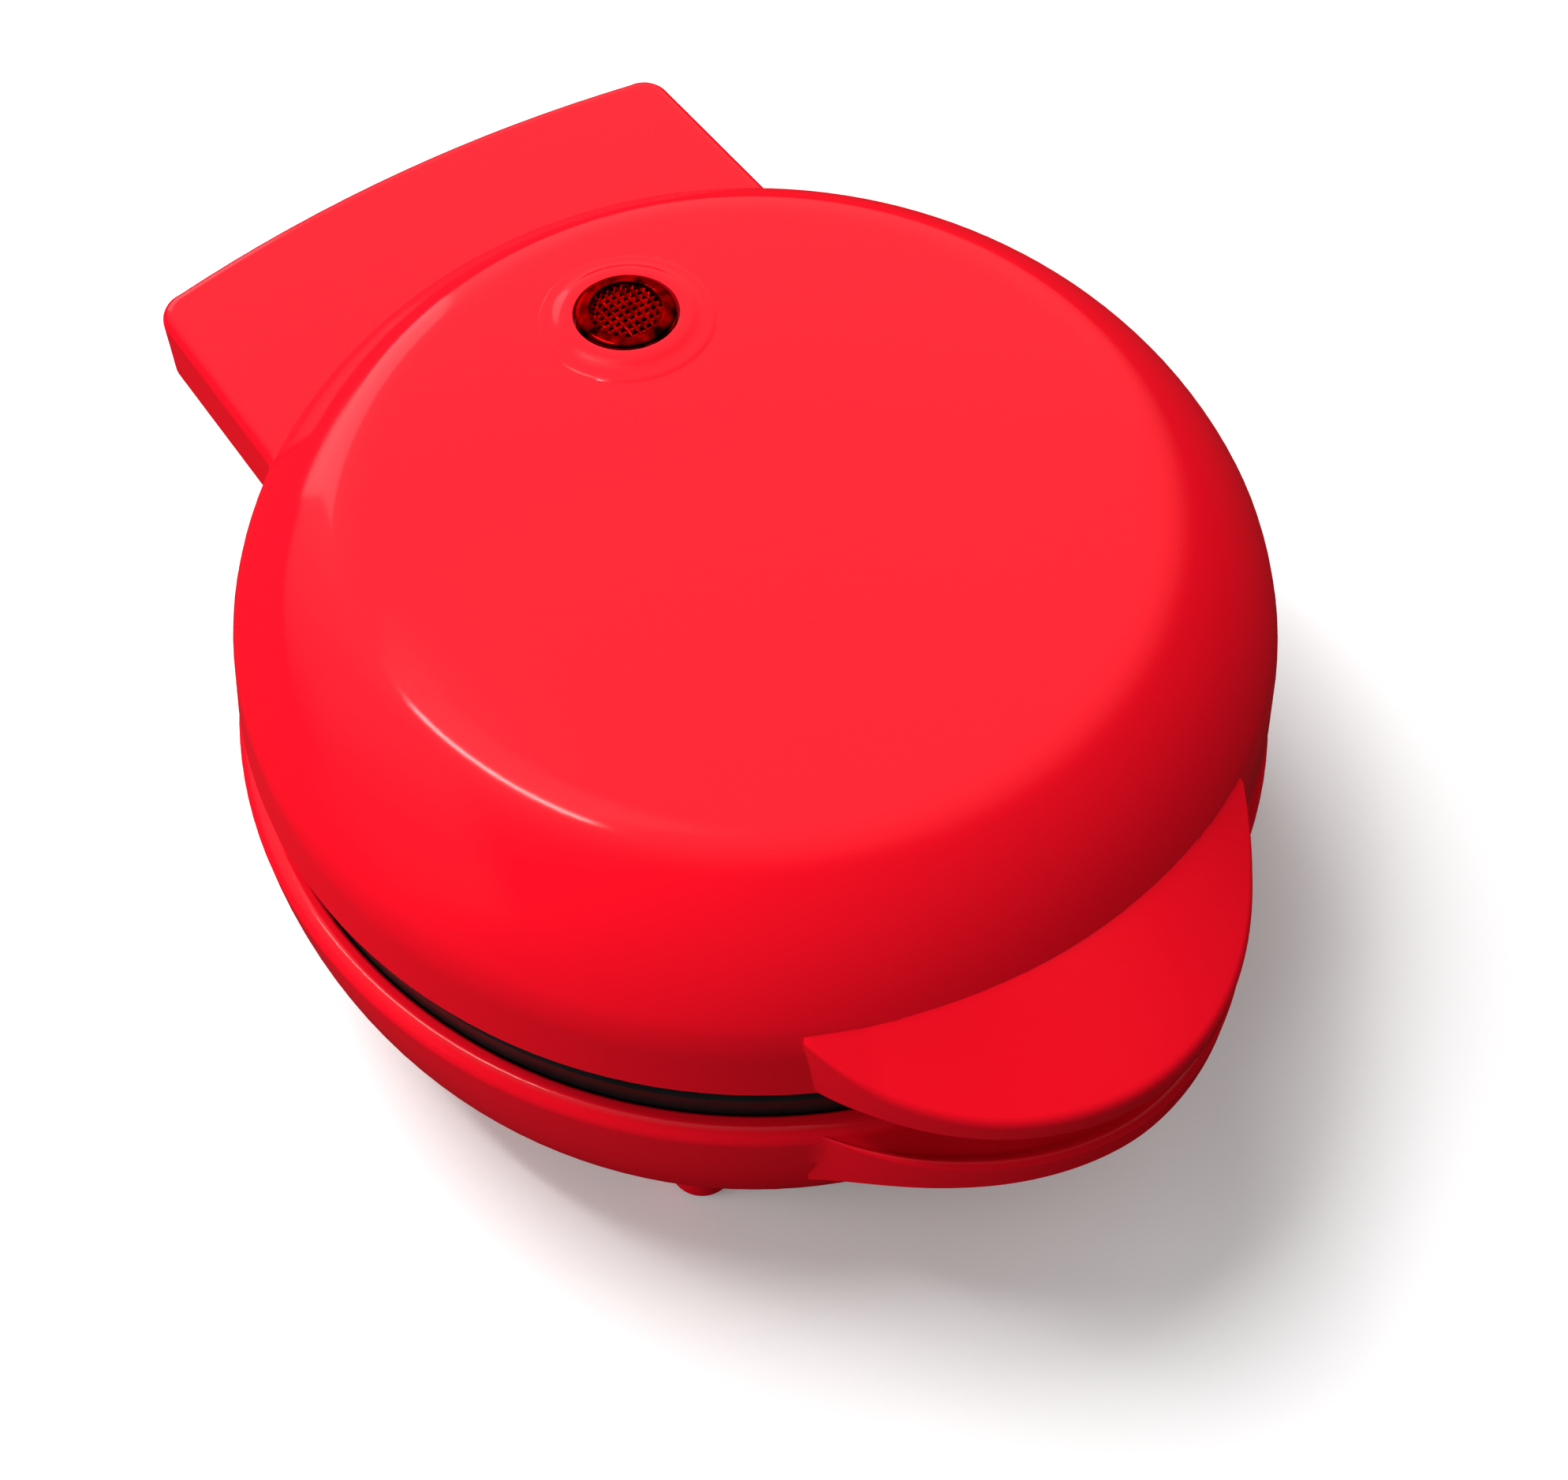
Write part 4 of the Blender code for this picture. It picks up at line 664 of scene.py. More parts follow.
def tab_solid(name, inset, drop):
    root_r = SKIRT_R - WALL
    inner = LID_R if inset else root_r
    narrowest = LID_R + 2 * inset if inset else SKIRT_R
    bottom = RIM_Z - drop

    def section(r_out):
        outer = r_out - inset
        flare = max(1 - (r_out - SKIRT_R) / TAB_FLARE, 0) ** TAB_FLARE_POWER
        edge = TAB_EDGE_Z + (TAB_CORNER_Z - TAB_EDGE_Z) * flare
        turn = min(TAB_EDGE_ROUND, (r_out - root_r) / 4)
        reach = max(r_out - turn - SKIRT_R, GAP)
        steep = (TAB_ROOT_Z - edge) / reach
        slope = (steep ** -TAB_SLOPE_POWER + TAB_SLOPE ** -TAB_SLOPE_POWER) ** (-1 / TAB_SLOPE_POWER)
        root = edge + slope * (r_out - turn - inner) - inset
        edge -= inset
        lean = math.atan(slope)
        knee = outer - turn + turn * math.sin(lean)
        knee_z = edge - slope * turn * math.sin(lean)
        under = turn * TAB_UNDER_SHARE
        made = [(inner, bottom), (outer - under, bottom)]
        made += arc((outer - under, bottom + under), under, -60, 0, 3)
        made += arc((outer - turn, knee_z - turn * math.cos(lean)), turn, 0, 90 - math.degrees(lean), 8)
        for i in range(1, TAB_TOP_STEPS):
            share = i / TAB_TOP_STEPS
            made.append((knee + (inner - knee) * share, knee_z + (root - knee_z) * share))
        return made + [(inner, root)]

    return swept(name, stations((TAB_X, TAB_Y), TAB_HALF, TAB_REACH, TAB_POWER, narrowest), section)


print("the tab reaches", round((LID_R + TAB_Y - TAB_REACH) / -MM, 1), "mm past the lid's rim")

# %% [markdown]
# The base's lip answers the tab. It has the same kind of outline, a narrow ridge round its edge
# and a shallow dish behind the ridge, and it tapers away below into the bowl.

# %% The lip
BASE_R, BASE_RIM_Z = 69.6 * MM, 42.0 * MM
RIM_WIDTH = 3.2 * MM
LIP_Y, LIP_HALF, LIP_REACH, LIP_POWER = -45.0 * MM, 37.6 * MM, 36.2 * MM, 1.87
LIP_TOP, LIP_EDGE, LIP_ROOT = 41.2 * MM, 4.8 * MM, 12.5 * MM
LIP_DISH, LIP_RIDGE = 1.8 * MM, 3.0 * MM
LIP_FOOT_SHARES = ((0.6, -0.1), (0.15, 0.2), (0.0, 0.6))
LIP_DISH_STEPS = 4


def lip_solid(name):
    wall = BASE_R - RIM_WIDTH / 2

    def section(r_out):
        span = r_out - wall
        ridge = min(LIP_RIDGE, span / 3)
        dish = LIP_DISH * min(1, span / (3 * LIP_RIDGE))
        flare = math.exp(-(r_out - BASE_R) / LIP_EDGE)
        edge = LIP_TOP - LIP_EDGE - (LIP_ROOT - LIP_EDGE) * flare
        turn = ridge / 3
        made = [(wall, LIP_TOP - LIP_ROOT)]
        made += [(r_out - turn * back, edge + turn * up) for back, up in LIP_FOOT_SHARES]
        made += arc((r_out - turn, LIP_TOP - turn), turn, 0, 90, 6)
        for i in range(1, LIP_DISH_STEPS + 1):
            share = i / LIP_DISH_STEPS
            down = dish * math.sin(math.pi / 2 * share) ** 2
            made.append((r_out - turn - (ridge - turn) * share, LIP_TOP - down))
        return made + [(wall, LIP_TOP - dish)]

    root_r = BASE_R - RIM_WIDTH / 3
    return swept(name, stations((0, LIP_Y), LIP_HALF, LIP_REACH, LIP_POWER, root_r), section)


print("the base is", round(2 * BASE_R / MM, 1), "mm across")

# %% [markdown]
# The hood is a flat box over the hinge, with a bowed back. Its corners, and the edge round its
# top, are rounded, and hollow corners lead its sides into the skirt.

# %% The hood
HOOD_HALF, HOOD_REAR, HOOD_BOW = 42.3 * MM, 90.4 * MM, 3.6 * MM
HOOD_TOP, HOOD_EDGE, HOOD_CORNER, HOOD_NECK = 62.5 * MM, 2.5 * MM, 4.4 * MM, 4.0 * MM
HOOD_CORNER_GIVE = 0.8
HOOD_STEPS, HOOD_EDGE_STEPS = 8, 7


def hood_solid(name, inset, bottom):
    half, rear = HOOD_HALF - inset, HOOD_REAR - inset
    corner = max(HOOD_CORNER - inset, GAP)
    edge = max(HOOD_EDGE - inset, GAP)
    neck_x = HOOD_HALF + HOOD_NECK
    neck_y = math.sqrt((SKIRT_R + HOOD_NECK) ** 2 - neck_x ** 2)

    def plan(pull):
        reach, turn = half - pull, corner - min(pull, corner * HOOD_CORNER_GIVE)
        back = rear - pull
        right = [(reach, 0)]
        if not inset:
            spread = math.atan2(neck_y, neck_x)
            neck = HOOD_NECK + pull
            for i in range(HOOD_STEPS + 1):
                a = math.pi + spread * (1 - i / HOOD_STEPS)
                right.append((neck_x + neck * math.cos(a), neck_y + neck * math.sin(a)))
        corner_y = back - HOOD_BOW - turn
        for i in range(HOOD_STEPS + 1):
            a = math.pi / 2 * i / HOOD_STEPS
            right.append((reach - turn + turn * math.cos(a), corner_y + turn * math.sin(a)))
        for i in range(1, HOOD_STEPS):
            share = 1 - i / HOOD_STEPS
            right.append(((reach - turn) * share, back - HOOD_BOW * share * share))
        return right + [(0, back)] + [(-x, y) for x, y in reversed(right)]

    levels = [(0, bottom)]
    for i in range(HOOD_EDGE_STEPS + 1):
        a = math.pi / 2 * i / HOOD_EDGE_STEPS
        levels.append((edge * (1 - math.cos(a)), HOOD_TOP - inset - edge * (1 - math.sin(a))))
    return lofted(name, [[(x, y, z) for x, y in plan(pull)] for pull, z in levels])


print("the hood is", round(2 * HOOD_HALF / MM, 1), "mm wide")

# %% [markdown]
# The lens sits in a low round boss. Its profile, in mm of radius and of height above the dome,
# climbs in two bends, and each of them draws a short line of light. The boss is tilted, because
# the dome falls off towards the back where it stands.

# %% The lens boss
LENS_X, LENS_Y, LENS_R = 2.4 * MM, 32.4 * MM, 6.6 * MM
LENS_SEAT_DEPTH = 1.6 * MM
BOSS_RISE, BOSS_SINK, BOSS_TILT = 0.8 * MM, 0.6 * MM, 1.3
BOSS_TOP = CROWN_Z + DOME_RISE * (1 - (math.hypot(LENS_X, LENS_Y) / CROWN_R) ** 2) + BOSS_RISE
BOSS_ROUND = 96
BOSS_PROFILE_MM = (
    (12.4, -0.40), (12.0, -0.30), (11.75, -0.18), (11.5, -0.05), (11.3, 0.04), (11.1, 0.09),
    (10.8, 0.11), (10.2, 0.14), (9.8, 0.20), (9.4, 0.34), (9.1, 0.48), (8.8, 0.62), (8.55, 0.72),
    (8.3, 0.78), (8.0, 0.81), (7.5, 0.82), (7.15, 0.80), (6.95, 0.76), (6.9, 0.6))


def boss_solid():
    low, foot, seat = BOSS_TOP - BOSS_RISE, CROWN_Z - BOSS_SINK, BOSS_TOP - LENS_SEAT_DEPTH
    line = [(0, foot), (BOSS_PROFILE_MM[0][0] * MM, foot)]
    line += [(r * MM, low + h * MM) for r, h in BOSS_PROFILE_MM]
    line += [(LENS_R + GAP, seat), (0, seat)]
    boss = spun("lens_boss", line, BOSS_ROUND, (LENS_X, LENS_Y))
    for point in boss.data.vertices:
        if point.co.z > CROWN_Z:
            inward = LENS_X * (LENS_X - point.co.x) + LENS_Y * (LENS_Y - point.co.y)
            point.co.z += BOSS_TILT * 2 * DOME_RISE * inward / CROWN_R ** 2
    return boss


print("the boss tops out at z =", round(BOSS_TOP / MM, 2), "mm")

# %% [markdown]
# Now the lid moulding is put together. Dome, hood and tab are joined and their seams are rounded.
# The boss is added after that, because its own profile is fine enough.

# %% Join the outside of the lid
EDGE_ROUND = 0.35 * MM
LID_BEVEL_ANGLE = math.radians(28)

lid = lid_solid("lid_moulding", 0.0)
add(lid, hood_solid("hood", 0.0, RIM_Z))
add(lid, tab_solid("tab", 0.0, 0.0))
round_edges(lid, EDGE_ROUND, angle=LID_BEVEL_ANGLE)
add(lid, boss_solid())
print("the lid's outside has", len(lid.data.polygons), "faces")

# %% [markdown]
# The hollows follow the outside at the wall's thickness. The hood's hollow stops just outside the
# dome, whose skirt stays whole but for a slot where the leads pass to the base.

# %% Hollow the lid
WIRE_SLOT = ((-9 * MM, 63.6 * MM, 49 * MM), (9 * MM, 70.2 * MM, 57.3 * MM))

cut(lid, lid_solid("lid_hollow", WALL, LONG))
hollow = hood_solid("hood_hollow", WALL, RIM_Z - LONG)
cut(hollow, lid_solid("hood_front", -GAP, 2 * LONG))
cut(lid, hollow)
cut(lid, tab_solid("tab_hollow", TAB_WALL, LONG))
cut(lid, box_between("wire_slot", *WIRE_SLOT))
print("with its hollows the lid has", len(lid.data.polygons), "faces")

# %% [markdown]
# Three posts carry the upper plate's screws. Each is trimmed to a shape inside the dome's wall, so
# that it never shows outside.

# %% Posts of the lid
LID_POST_R, LID_POST_AT, LID_POST_Z = 3.4 * MM, 59.3 * MM, 50.5 * MM
LID_POST_TURNS = (30, 150, 270)
LID_POST_BITE = 0.4
LID_POST_HOLE_TOP = 58.7 * MM
SCREW_HOLE = 1.8 * MM
HOLE_ROUND = 26


def around(radius, degrees):
    return radius * math.cos(math.radians(degrees)), radius * math.sin(math.radians(degrees))


for degrees in LID_POST_TURNS:
    place = around(LID_POST_AT, degrees)
    post = bar("post", LID_POST_R, LID_POST_Z, CROWN_Z, place, 30)
    combine(post, lid_solid("core", WALL * LID_POST_BITE), "INTERSECT")
    add(lid, post)
    cut(lid, bar("post_hole", SCREW_HOLE, RIM_Z - LONG, LID_POST_HOLE_TOP, place, HOLE_ROUND))
print("posts in the lid:", len(LID_POST_TURNS))

# %% [markdown]
# Two lugs with round eyes hang from the hood's roof and turn on the hinge pins. Last, the holes
# for the pins, for the lens and for its stem are cut.

# %% Lugs and holes of the lid
HINGE_Y, HINGE_Z, KNUCKLE = 78.0 * MM, 54.5 * MM, 4.3 * MM
PIN_R = 1.9 * MM
LUG_IN, LUG_OUT = 33.6 * MM, 37.2 * MM
EYE_STEPS = 25
LENS_STEM_R, STEM_HOLE_DEPTH = 5.6 * MM, 10 * MM


def plate_x(name, plan, low_x, high_x):
    return lofted(name, [[(x, y, z) for y, z in plan] for x in (low_x, high_x)])


for sign in (-1, 1):
    roof = HOOD_TOP - WALL / 2
    eye = arc((HINGE_Y, HINGE_Z), KNUCKLE, 180, 360, EYE_STEPS)
    plan = [(HINGE_Y - KNUCKLE, roof)] + eye + [(HINGE_Y + KNUCKLE, roof)]
    add(lid, plate_x("lug", plan, sign * LUG_IN, sign * LUG_OUT))
cut(lid, lying_bar("lug_bore", PIN_R + GAP, -LUG_OUT - LONG, LUG_OUT + LONG, HINGE_Y, HINGE_Z))
spot = (LENS_X, LENS_Y)
cut(lid, bar("stem_hole", LENS_STEM_R + GAP, BOSS_TOP - STEM_HOLE_DEPTH, BOSS_TOP, spot, 52))
cut(lid, bar("lens_seat", LENS_R + GAP, BOSS_TOP - LENS_SEAT_DEPTH, BOSS_TOP + LONG, spot, 88))
finished(lid, RED_GLOSS, "lid", "red_moulding", "lid_shell")

# %% [markdown]
# The base is a deep bowl with a flat bottom, a quarter of an ellipse in section. Its rim is
# rounded outside and has a crisp inner edge, and a ledge inside carries the lower plate.

# %% The bowl, solid and hollow
FLOOR_R, FLOOR_Z, BOWL_DEPTH = 51.6 * MM, 4.0 * MM, 39.7 * MM
BOWL_STEPS = 40
RIM_ROUND = 2.2 * MM
LEDGE_Z, LEDGE_WIDTH, LEDGE_DEPTH, LEDGE_THICK = 37.4 * MM, 3 * MM, 3 * MM, MM


def bowl_outline():
    across = BASE_R - FLOOR_R
    lowest = math.degrees(math.asin((BASE_RIM_Z - FLOOR_Z) / BOWL_DEPTH))
    made = []
    for i in range(BOWL_STEPS):
        turn = math.radians(-lowest * (1 - i / (BOWL_STEPS - 1)))
        made.append((FLOOR_R + across * math.cos(turn), BASE_RIM_Z + BOWL_DEPTH * math.sin(turn)))
    return [(r, z) for r, z in made if z < BASE_RIM_Z - RIM_ROUND]


def base_solid():
    rim = arc((BASE_R - RIM_ROUND, BASE_RIM_Z - RIM_ROUND), RIM_ROUND, 0, 90, 10)
    return spun("base_moulding", [(0, FLOOR_Z)] + bowl_outline() + rim + [(0, BASE_RIM_Z)], ROUND)


def base_hollow():
    inner, bend, top = BASE_R - RIM_WIDTH, LEDGE_Z - LEDGE_DEPTH, BASE_RIM_Z + LONG
    ledge = inner - LEDGE_WIDTH
    wall = [(r, z) for r, z in shifted(bowl_outline(), -WALL) if z < bend]
    wall[0] = (wall[0][0], FLOOR_Z + WALL)
    line = [(0, FLOOR_Z + WALL)] + wall
    line += [(wall[-1][0], bend), (ledge, LEDGE_Z - LEDGE_THICK), (ledge, LEDGE_Z), (inner, LEDGE_Z)]
    line += [(inner, BASE_RIM_Z - GAP), (inner + GAP, BASE_RIM_Z), (inner + GAP, top), (0, top)]
    return spun("base_hollow", line, ROUND)


print("the bowl's outline has", len(bowl_outline()), "points")

# %% [markdown]
# Two arms rise from the bowl's rear wall and carry the hinge pins. Their outline starts inside the
# wall, clears the lid's rim and runs round the eye. The lip is joined to the bowl here too.

# %% Join the bowl, the lip and the hinge arms
ARM_IN, ARM_OUT = 27.8 * MM, 33.0 * MM
ARM_ROOT, ARM_WAIST, ARM_WIDTH = 14 * MM, 4 * MM, 8.5 * MM


def arm_plan():
    front = math.sqrt((BASE_R - RIM_WIDTH) ** 2 - ARM_IN ** 2) + GAP
    clear = math.sqrt(LID_R ** 2 - ARM_IN ** 2) + LONG
    low = BASE_RIM_Z - ARM_ROOT
    eye = arc((HINGE_Y, HINGE_Z), KNUCKLE, 120, -60, EYE_STEPS)
    rise = [(front, low), (front, BASE_RIM_Z + LONG), (clear, RIM_Z - 4 * GAP)]
    fall = [(HINGE_Y - ARM_WAIST, HINGE_Z - ARM_WAIST - GAP), (front + ARM_WIDTH, BASE_RIM_Z)]
    return rise + eye + fall + [(front + GAP, low)]


base = base_solid()
add(base, lip_solid("lip"))
for sign in (-1, 1):
    add(base, plate_x("arm", arm_plan(), sign * ARM_IN, sign * ARM_OUT))
print("with its lip and arms the base has", len(base.data.polygons), "faces")

# %% [markdown]
# Four turned feet, rounded below, and a round boss for the bush of the mains cord are added. All
# outer edges are then softened, before the hollow is cut, so the rim's inner edge stays crisp.

# %% Feet, boss and hollow of the base
FOOT_R, FOOT_AT, FOOT_TURN, FOOT_Z = 4.5 * MM, 56.0 * MM, 48, 0.5 * MM
FOOT_ROUND = 0.6 * MM
GLAND_Z, GLAND_FACE, GLAND_BOSS, GLAND_BOSS_DEPTH = 21.5 * MM, 70.0 * MM, 8.5 * MM, 10 * MM
GLAND_PLACE = Matrix.Translation((0, 0, GLAND_Z)) @ Matrix.Rotation(-math.pi / 2, 4, "X")

feet = [around(FOOT_AT, turn) for turn in (180 + FOOT_TURN, -FOOT_TURN, 180 - FOOT_TURN, FOOT_TURN)]
for place in feet:
    line = [(0, FOOT_Z)] + arc((FOOT_R - FOOT_ROUND, FOOT_Z + FOOT_ROUND), FOOT_ROUND, -90, 0, 6)
    add(base, spun("foot", line + [(FOOT_R, FLOOR_Z + 2 * WALL), (0, FLOOR_Z + 2 * WALL)], 48, place))
boss = bar("gland_boss", GLAND_BOSS, GLAND_FACE - GLAND_BOSS_DEPTH, GLAND_FACE, (0, 0), 56)
boss.data.transform(GLAND_PLACE)
add(base, boss)
round_edges(base, EDGE_ROUND)
cut(base, base_hollow())
print("with its feet and hollow the base has", len(base.data.polygons), "faces")

# %% [markdown]
# Three posts rise from the floor to the lower plate. The screws go in from below, so each hole is
# wide up to a cap that the screw's head pulls against.

# %% Posts of the base
POST_R, POST_AT, POST_TOP, POST_CAP = 4.5 * MM, 43.0 * MM, 26.9 * MM, 3 * MM
POST_TURNS = (90, 210, 330)
HEAD_HOLE, HEAD_ROUND = 3.1 * MM, 34

for degrees in POST_TURNS:
    place = around(POST_AT, degrees)
    add(base, bar("post", POST_R, FLOOR_Z + WALL / 2, POST_TOP, place, 40))
    line = [(0, 0), (HEAD_HOLE, 0), (HEAD_HOLE, POST_TOP - POST_CAP), (SCREW_HOLE, POST_TOP - POST_CAP),
            (SCREW_HOLE, POST_TOP + LONG), (0, POST_TOP + LONG)]
    cut(base, spun("post_hole", line, HEAD_ROUND, place))
print("posts in the base:", len(POST_TURNS))

# %% [markdown]
# The last cuts are the recesses for the rubber pads, the bore for the pins, the hole for the cord
# and a row of vents in the floor.

# %% Holes of the base
PAD_R = 3.2 * MM
GLAND_HOLE, GLAND_HOLE_DEPTH = 5.1 * MM, 20 * MM
VENTS, VENT_PITCH_MM = 5, 6.6
VENT_HALF_X, VENT_HALF_Y, VENT_LOW, VENT_HIGH = 1.2 * MM, 11 * MM, 2 * MM, 8 * MM

for place in feet:
    cut(base, bar("pad_recess", PAD_R + GAP, -LONG, FOOT_Z + MM, place, 40))
cut(base, lying_bar("arm_bore", PIN_R + GAP, -ARM_OUT - LONG, ARM_OUT + LONG, HINGE_Y, HINGE_Z))
hole = bar("gland_hole", GLAND_HOLE, GLAND_FACE - GLAND_HOLE_DEPTH, GLAND_FACE + LONG, (0, 0), 44)
hole.data.transform(GLAND_PLACE)
cut(base, hole)
for i in range(VENTS):
    x = (i - VENTS // 2) * VENT_PITCH_MM * MM
    low, high = (x - VENT_HALF_X, -VENT_HALF_Y, VENT_LOW), (x + VENT_HALF_X, VENT_HALF_Y, VENT_HIGH)
    cut(base, box_between("vent", low, high))
finished(base, RED_GLOSS, "base", "red_moulding", "base_shell")

# %% [markdown]
# The grid plates are die-cast and coated. Each is a turned dish with a raised dam, a drip groove
# and a rounded rim, and both are spun from the same corners.

# %% The dish of a plate
GRID_R, GRID_DEPTH, GRID_DRAFT = 50.0 * MM, 7.8 * MM, 1.2 * MM
PLATE_FLOOR, PLATE_BACK, PLATE_WALL = 3.0 * MM, 3.3 * MM, 2.2 * MM
DAM_WIDTH = 2.0 * MM
DRIP_IN, DRIP_OUT, DRIP_END, DRIP_DEPTH = 0.9 * MM, 1.7 * MM, 2.6 * MM, 1.2 * MM
PLATE_RADII_MM = (1.0, 0.5, 0.4, 0.35, 0.35, 0.4, 1.2, 0.3, 0.3, 0.4, 0.4, 1.0)
PLATE_ARC_STEPS, PLATE_ROUND = 6, 128


def plate_solid(name, radius, wall_depth):
    top, groove, back = PLATE_TOP, PLATE_TOP - GRID_DEPTH, PLATE_TOP - PLATE_BACK
    under, foot = groove - PLATE_FLOOR, top - wall_depth
    dam = GRID_R + GRID_DRAFT
    drip = dam + DAM_WIDTH
    corners = [(0, groove), (GRID_R, groove), (dam, top), (drip, top)]
    corners += [(drip + DRIP_IN, top - DRIP_DEPTH), (drip + DRIP_OUT, top - DRIP_DEPTH)]
    corners += [(drip + DRIP_END, top), (radius, top), (radius, foot), (radius - PLATE_WALL, foot)]
    corners += [(radius - PLATE_WALL, back), (drip, back), (GRID_R + DAM_WIDTH, under), (0, under)]
    return spun(name, rounded(corners, [r * MM for r in PLATE_RADII_MM], PLATE_ARC_STEPS), PLATE_ROUND)


print("a plate's outline has", len(PLATE_RADII_MM), "rounded corners")

# %% [markdown]
# The pegs of the grid are one tapered block with softened edges, copied over the grid. A place
# whose peg would lie almost wholly outside the circle is skipped, and the rest are trimmed to it.

# %% The pegs of a plate
PEG_PITCH, PEG_FOOT, PEG_HEAD, PEG_HEIGHT = 15.5 * MM, 11.2 * MM, 9.2 * MM, 5.7 * MM
PEG_SINK, PEG_ROUND, PEG_ROUND_STEPS = 1.5 * MM, 1.0 * MM, 4
PEGS_EACH_WAY = 4
TRIM_DEPTH = 20 * MM


def one_peg():
    peg = box_between("peg", (-0.5, -0.5, -0.5), (0.5, 0.5, 0.5))
    foot, head = PLATE_TOP - GRID_DEPTH - PEG_SINK, PLATE_TOP - GRID_DEPTH + PEG_HEIGHT
    for corner in peg.data.vertices:
        half, z = (PEG_HEAD / 2, head) if corner.co.z > 0 else (PEG_FOOT / 2, foot)
        corner.co = (math.copysign(half, corner.co.x), math.copysign(half, corner.co.y), z)
    return edit(peg, (bpy.ops.mesh.bevel, {"offset": PEG_ROUND, "segments": PEG_ROUND_STEPS}))


def all_pegs():
    peg = one_peg()
    copies = []
    for i in range(-PEGS_EACH_WAY, PEGS_EACH_WAY):
        for j in range(-PEGS_EACH_WAY, PEGS_EACH_WAY):
            x, y = (i + 0.5) * PEG_PITCH, (j + 0.5) * PEG_PITCH
            nearest = math.hypot(abs(x) - PEG_FOOT / 2, abs(y) - PEG_FOOT / 2)
            if nearest > GRID_R - PEG_FOOT / 4:
                continue
            copy = peg.copy()
            copy.data = peg.data.copy()
            copy.data.transform(Matrix.Translation((x, y, 0)))
            bpy.context.scene.collection.objects.link(copy)
            copies.append(copy)
    bpy.data.objects.remove(peg)
    only(copies[0])
    for copy in copies:
        copy.select_set(True)
    bpy.ops.object.join()
    pegs, low = bpy.context.object, PLATE_TOP - TRIM_DEPTH
    trim = bar("trim", GRID_R + GRID_DRAFT, low, PLATE_TOP, (0, 0), PLATE_ROUND)
    return combine(pegs, trim, "INTERSECT")


print("the grid's pitch is", PEG_PITCH / MM, "mm")

# %% [markdown]
# The lower plate has three bosses below for its screws. The upper one is the same dish turned
# over, with a lower wall, and its screws pass through the rim.

# %% Build the plates
LOWER_R, LOWER_WALL = 66.1 * MM, 8.6 * MM
PLATE_BOSS_R, PLATE_BOSS_DEPTH, PLATE_BOSS_SINK = 3.8 * MM, 7.2 * MM, 1.5 * MM
PLATE_HOLE_DEPTH = 10 * MM
UPPER_R, UPPER_WALL = 65.2 * MM, 4.8 * MM
FLANGE_HEAD, FLANGE_END = 2.2 * MM, 6 * MM

lower = add(plate_solid("lower_grid_plate", LOWER_R, LOWER_WALL), all_pegs())
for degrees in POST_TURNS:
    under = PLATE_TOP - GRID_DEPTH - PLATE_FLOOR
    low, high = under - PLATE_BOSS_DEPTH, under + PLATE_BOSS_SINK
    place = around(POST_AT, degrees)
    add(lower, bar("plate_boss", PLATE_BOSS_R, low, high, place, 36))
    low, high = under - PLATE_HOLE_DEPTH, under - GAP
    cut(lower, bar("plate_boss_hole", SCREW_HOLE, low, high, place, HOLE_ROUND))
finished(lower, BLACK_COATING, "base", "nonstick_plate", "lower_plate")

upper = add(plate_solid("upper_grid_plate", UPPER_R, UPPER_WALL), all_pegs())
upper.data.transform(Matrix.Translation((0, 0, 2 * PARTING)) @ Matrix.Rotation(math.pi, 4, "Y"))
for degrees in LID_POST_TURNS:
    low, head, high = UPPER_FACE - LONG, UPPER_FACE + FLANGE_HEAD, UPPER_FACE + FLANGE_END
    line = [(0, low), (HEAD_HOLE, low), (HEAD_HOLE, head)]
    line += [(SCREW_HOLE, head), (SCREW_HOLE, high), (0, high)]
    cut(upper, spun("flange_hole", line, HEAD_ROUND, around(LID_POST_AT, degrees)))
finished(upper, BLACK_COATING, "lid", "nonstick_plate", "upper_plate")

# %% [markdown]
# The indicator is a dark red lens with a round field of small pyramids, which catch the light one
# by one. The field sits inside a smooth ring of the same plastic, which is spun. Two small steps
# and a wide bead lead from the field down to the boss.

# %% The lens's ring
FIELD_R, FIELD_TOP = 4.75 * MM, BOSS_TOP + 0.25 * MM
FIELD_WELL = 1.5 * MM
RING_STEPS_MM = ((0.0, 0.05), (0.15, 0.25), (0.35, 0.34))
RING_OVERLAP = 0.05 * MM
BEAD_WIDTH, BEAD_HEIGHT, BEAD_DROP = 1.1 * MM, 0.85 * MM, 0.55 * MM
BEAD_STEPS = 7
STEM_LENGTH = 8.5 * MM


def lens_ring():
    seat = BOSS_TOP - LENS_SEAT_DEPTH + GAP
    low, well = seat - STEM_LENGTH, FIELD_TOP - FIELD_WELL
    inside = FIELD_R - RING_OVERLAP
    line = [(0, well), (inside, well)]
    line += [(inside + out * MM, FIELD_TOP + up * MM) for out, up in RING_STEPS_MM]
    for i in range(BEAD_STEPS + 1):
        turn = math.radians(90 - 90 * i / BEAD_STEPS)
        r = LENS_R - BEAD_WIDTH + BEAD_WIDTH * math.cos(turn)
        line.append((r, FIELD_TOP - BEAD_DROP + BEAD_HEIGHT * math.sin(turn)))
    line += [(LENS_R, seat), (LENS_STEM_R, seat), (LENS_STEM_R, low), (0, low)]
    return spun("lens_ring", line, BOSS_ROUND, (LENS_X, LENS_Y))


finished(lens_ring(), LENS_RING_PAINTED_GLINTS, "lid", "lens_red", "indicator_lens")

# %% [markdown]
# The field starts as a fine flat grid, made thick so that it is closed. A formula then raises each
# point of its top to the nearest pyramid's slope, on a slightly domed ground.

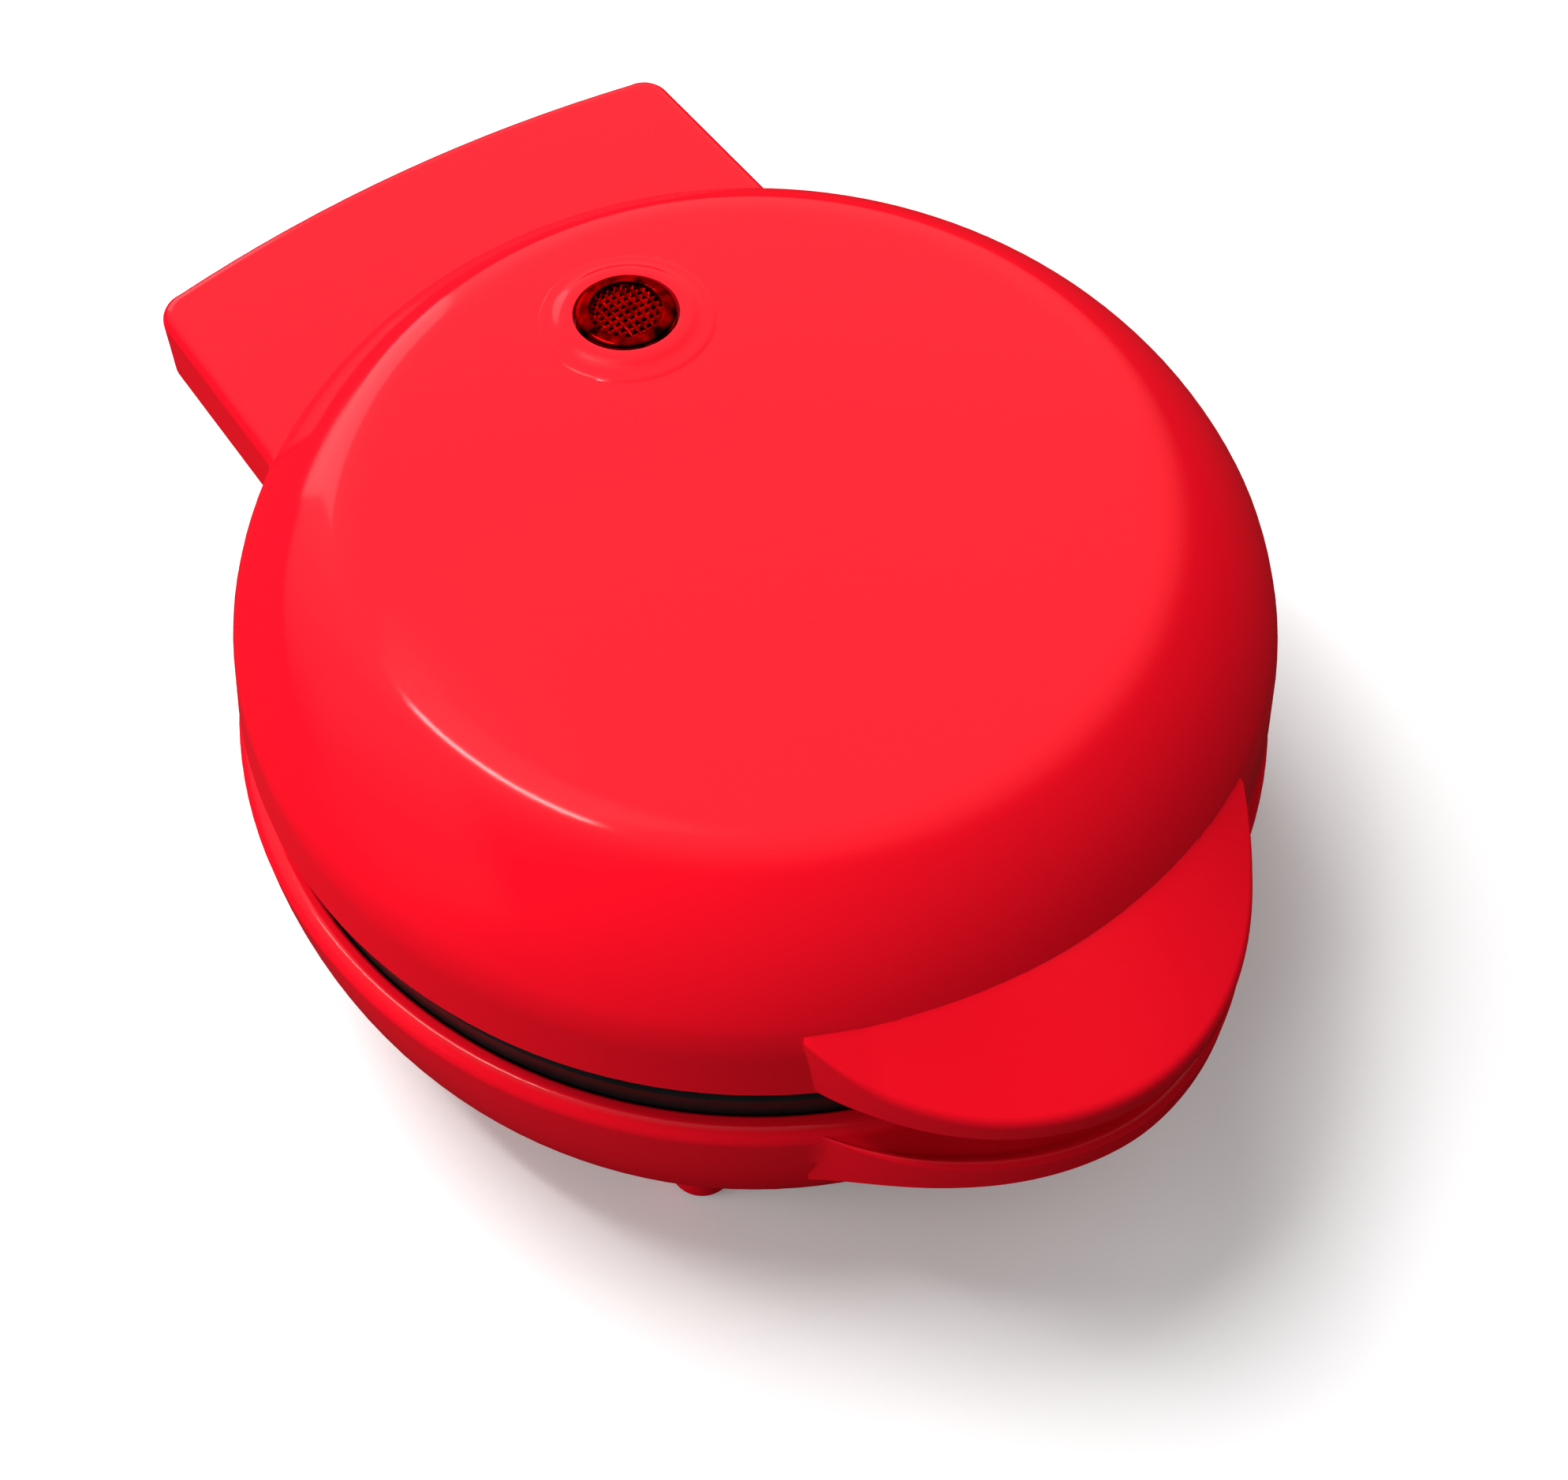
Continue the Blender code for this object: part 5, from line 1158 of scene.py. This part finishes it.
# %% The lens's field
PYRAMID, PYRAMID_HEIGHT = 1.08 * MM, 0.50 * MM
FIELD_DOME, FIELD_THICK, FIELD_SPARE = 0.35 * MM, 1.8 * MM, MM
FIELD_CUTS = 108
TOP_LAYER = -0.1 * MM
FIELD_TRIM = 1.6 * MM


def lens_field():
    bpy.ops.mesh.primitive_grid_add(x_subdivisions=FIELD_CUTS, y_subdivisions=FIELD_CUTS,
                                    size=2 * FIELD_R + FIELD_SPARE)
    face = bpy.context.object
    face.name = "lens_field"
    down = {"TRANSFORM_OT_translate": {"value": (0, 0, -FIELD_THICK)}}
    clean(edit(face, (bpy.ops.mesh.extrude_region_move, down)))
    for point in face.data.vertices:
        if point.co.z > TOP_LAYER:
            u = point.co.x / PYRAMID
            v = point.co.y / PYRAMID
            peak = 1 - 2 * max(abs(u - round(u)), abs(v - round(v)))
            bulge = FIELD_DOME * (1 - (point.co.x ** 2 + point.co.y ** 2) / FIELD_R ** 2)
            point.co.z = (peak - 1) * PYRAMID_HEIGHT + bulge
    face.data.transform(Matrix.Translation((LENS_X, LENS_Y, FIELD_TOP)))
    low, high = FIELD_TOP - FIELD_TRIM, FIELD_TOP + FIELD_SPARE
    return combine(face, bar("field_trim", FIELD_R, low, high, (LENS_X, LENS_Y), 72), "INTERSECT")


finished(lens_field(), LENS_FIELD_PAINTED_GLINTS, "lid", "lens_red")

# %% [markdown]
# The small pieces have the right shape already. This table gives each group, under a name, its
# finish and the frame's nodes that wear it. The record says which body each node belongs to.

# %% Small pieces from the frame
SMALL = {
    "dark_nylon": (NYLON, ["cord_gland", "terminal_block", "lamp_holder"]),
    "steel": (STEEL, ["hinge_pin_left", "hinge_pin_right", "thermal_fuse"]
              + [f"{body}_screw_{n}" for body in ("base", "lid") for n in (1, 2, 3)]),
    "foot_rubber": (RUBBER, [f"foot_pad_{end}_{side}" for end in ("front", "rear")
                             for side in ("left", "right")]),
    "shield_sheet": (SHIELD, ["lower_heat_shield", "upper_heat_shield"]),
    "element_sheath": (SHEATH, ["lower_element", "upper_element"]),
    "ceramic": (CERAMIC, ["thermostat"]),
    "lead_insulation": (SLEEVING, [f"{which}_lead_{side}" for which in ("element", "lamp")
                                   for side in ("left", "right")]),
    "lamp_glass": (GLASS, ["neon_lamp"]),
}
BODIES = frame["record"]["behaviour"]["bodies"]
BODY_OF = {node: body for body, named in BODIES.items() for node in named}
print("small pieces:", sum(len(named) for _, named in SMALL.values()))

# %% [markdown]
# Each is copied, its loose triangles are merged and joined into flat faces, and its edges get a
# fine bevel, because real edges are never sharp.

# %% Refine the small pieces
SOFT_EDGE = 0.15 * MM
SMALL_BEVEL_ANGLE = math.radians(50)
FLAT = math.radians(1)


def refined(node, material, slot):
    source = frame["nodes"][node]
    copy = source.copy()
    copy.data = source.data.copy()
    copy.name = node + "_fine"
    copy.parent = None
    copy.matrix_world = source.matrix_world.copy()
    bpy.context.scene.collection.objects.link(copy)
    only(copy)
    bpy.ops.object.transform_apply(location=True, rotation=True, scale=True)
    edit(copy, (bpy.ops.mesh.remove_doubles, {"threshold": MERGE}),
         (bpy.ops.mesh.dissolve_limited, {"angle_limit": FLAT}))
    round_edges(copy, SOFT_EDGE, angle=SMALL_BEVEL_ANGLE)
    return finished(copy, material, BODY_OF[node], slot, node, shift=False)


for slot, (material, named) in SMALL.items():
    for node in named:
        refined(node, material, slot)
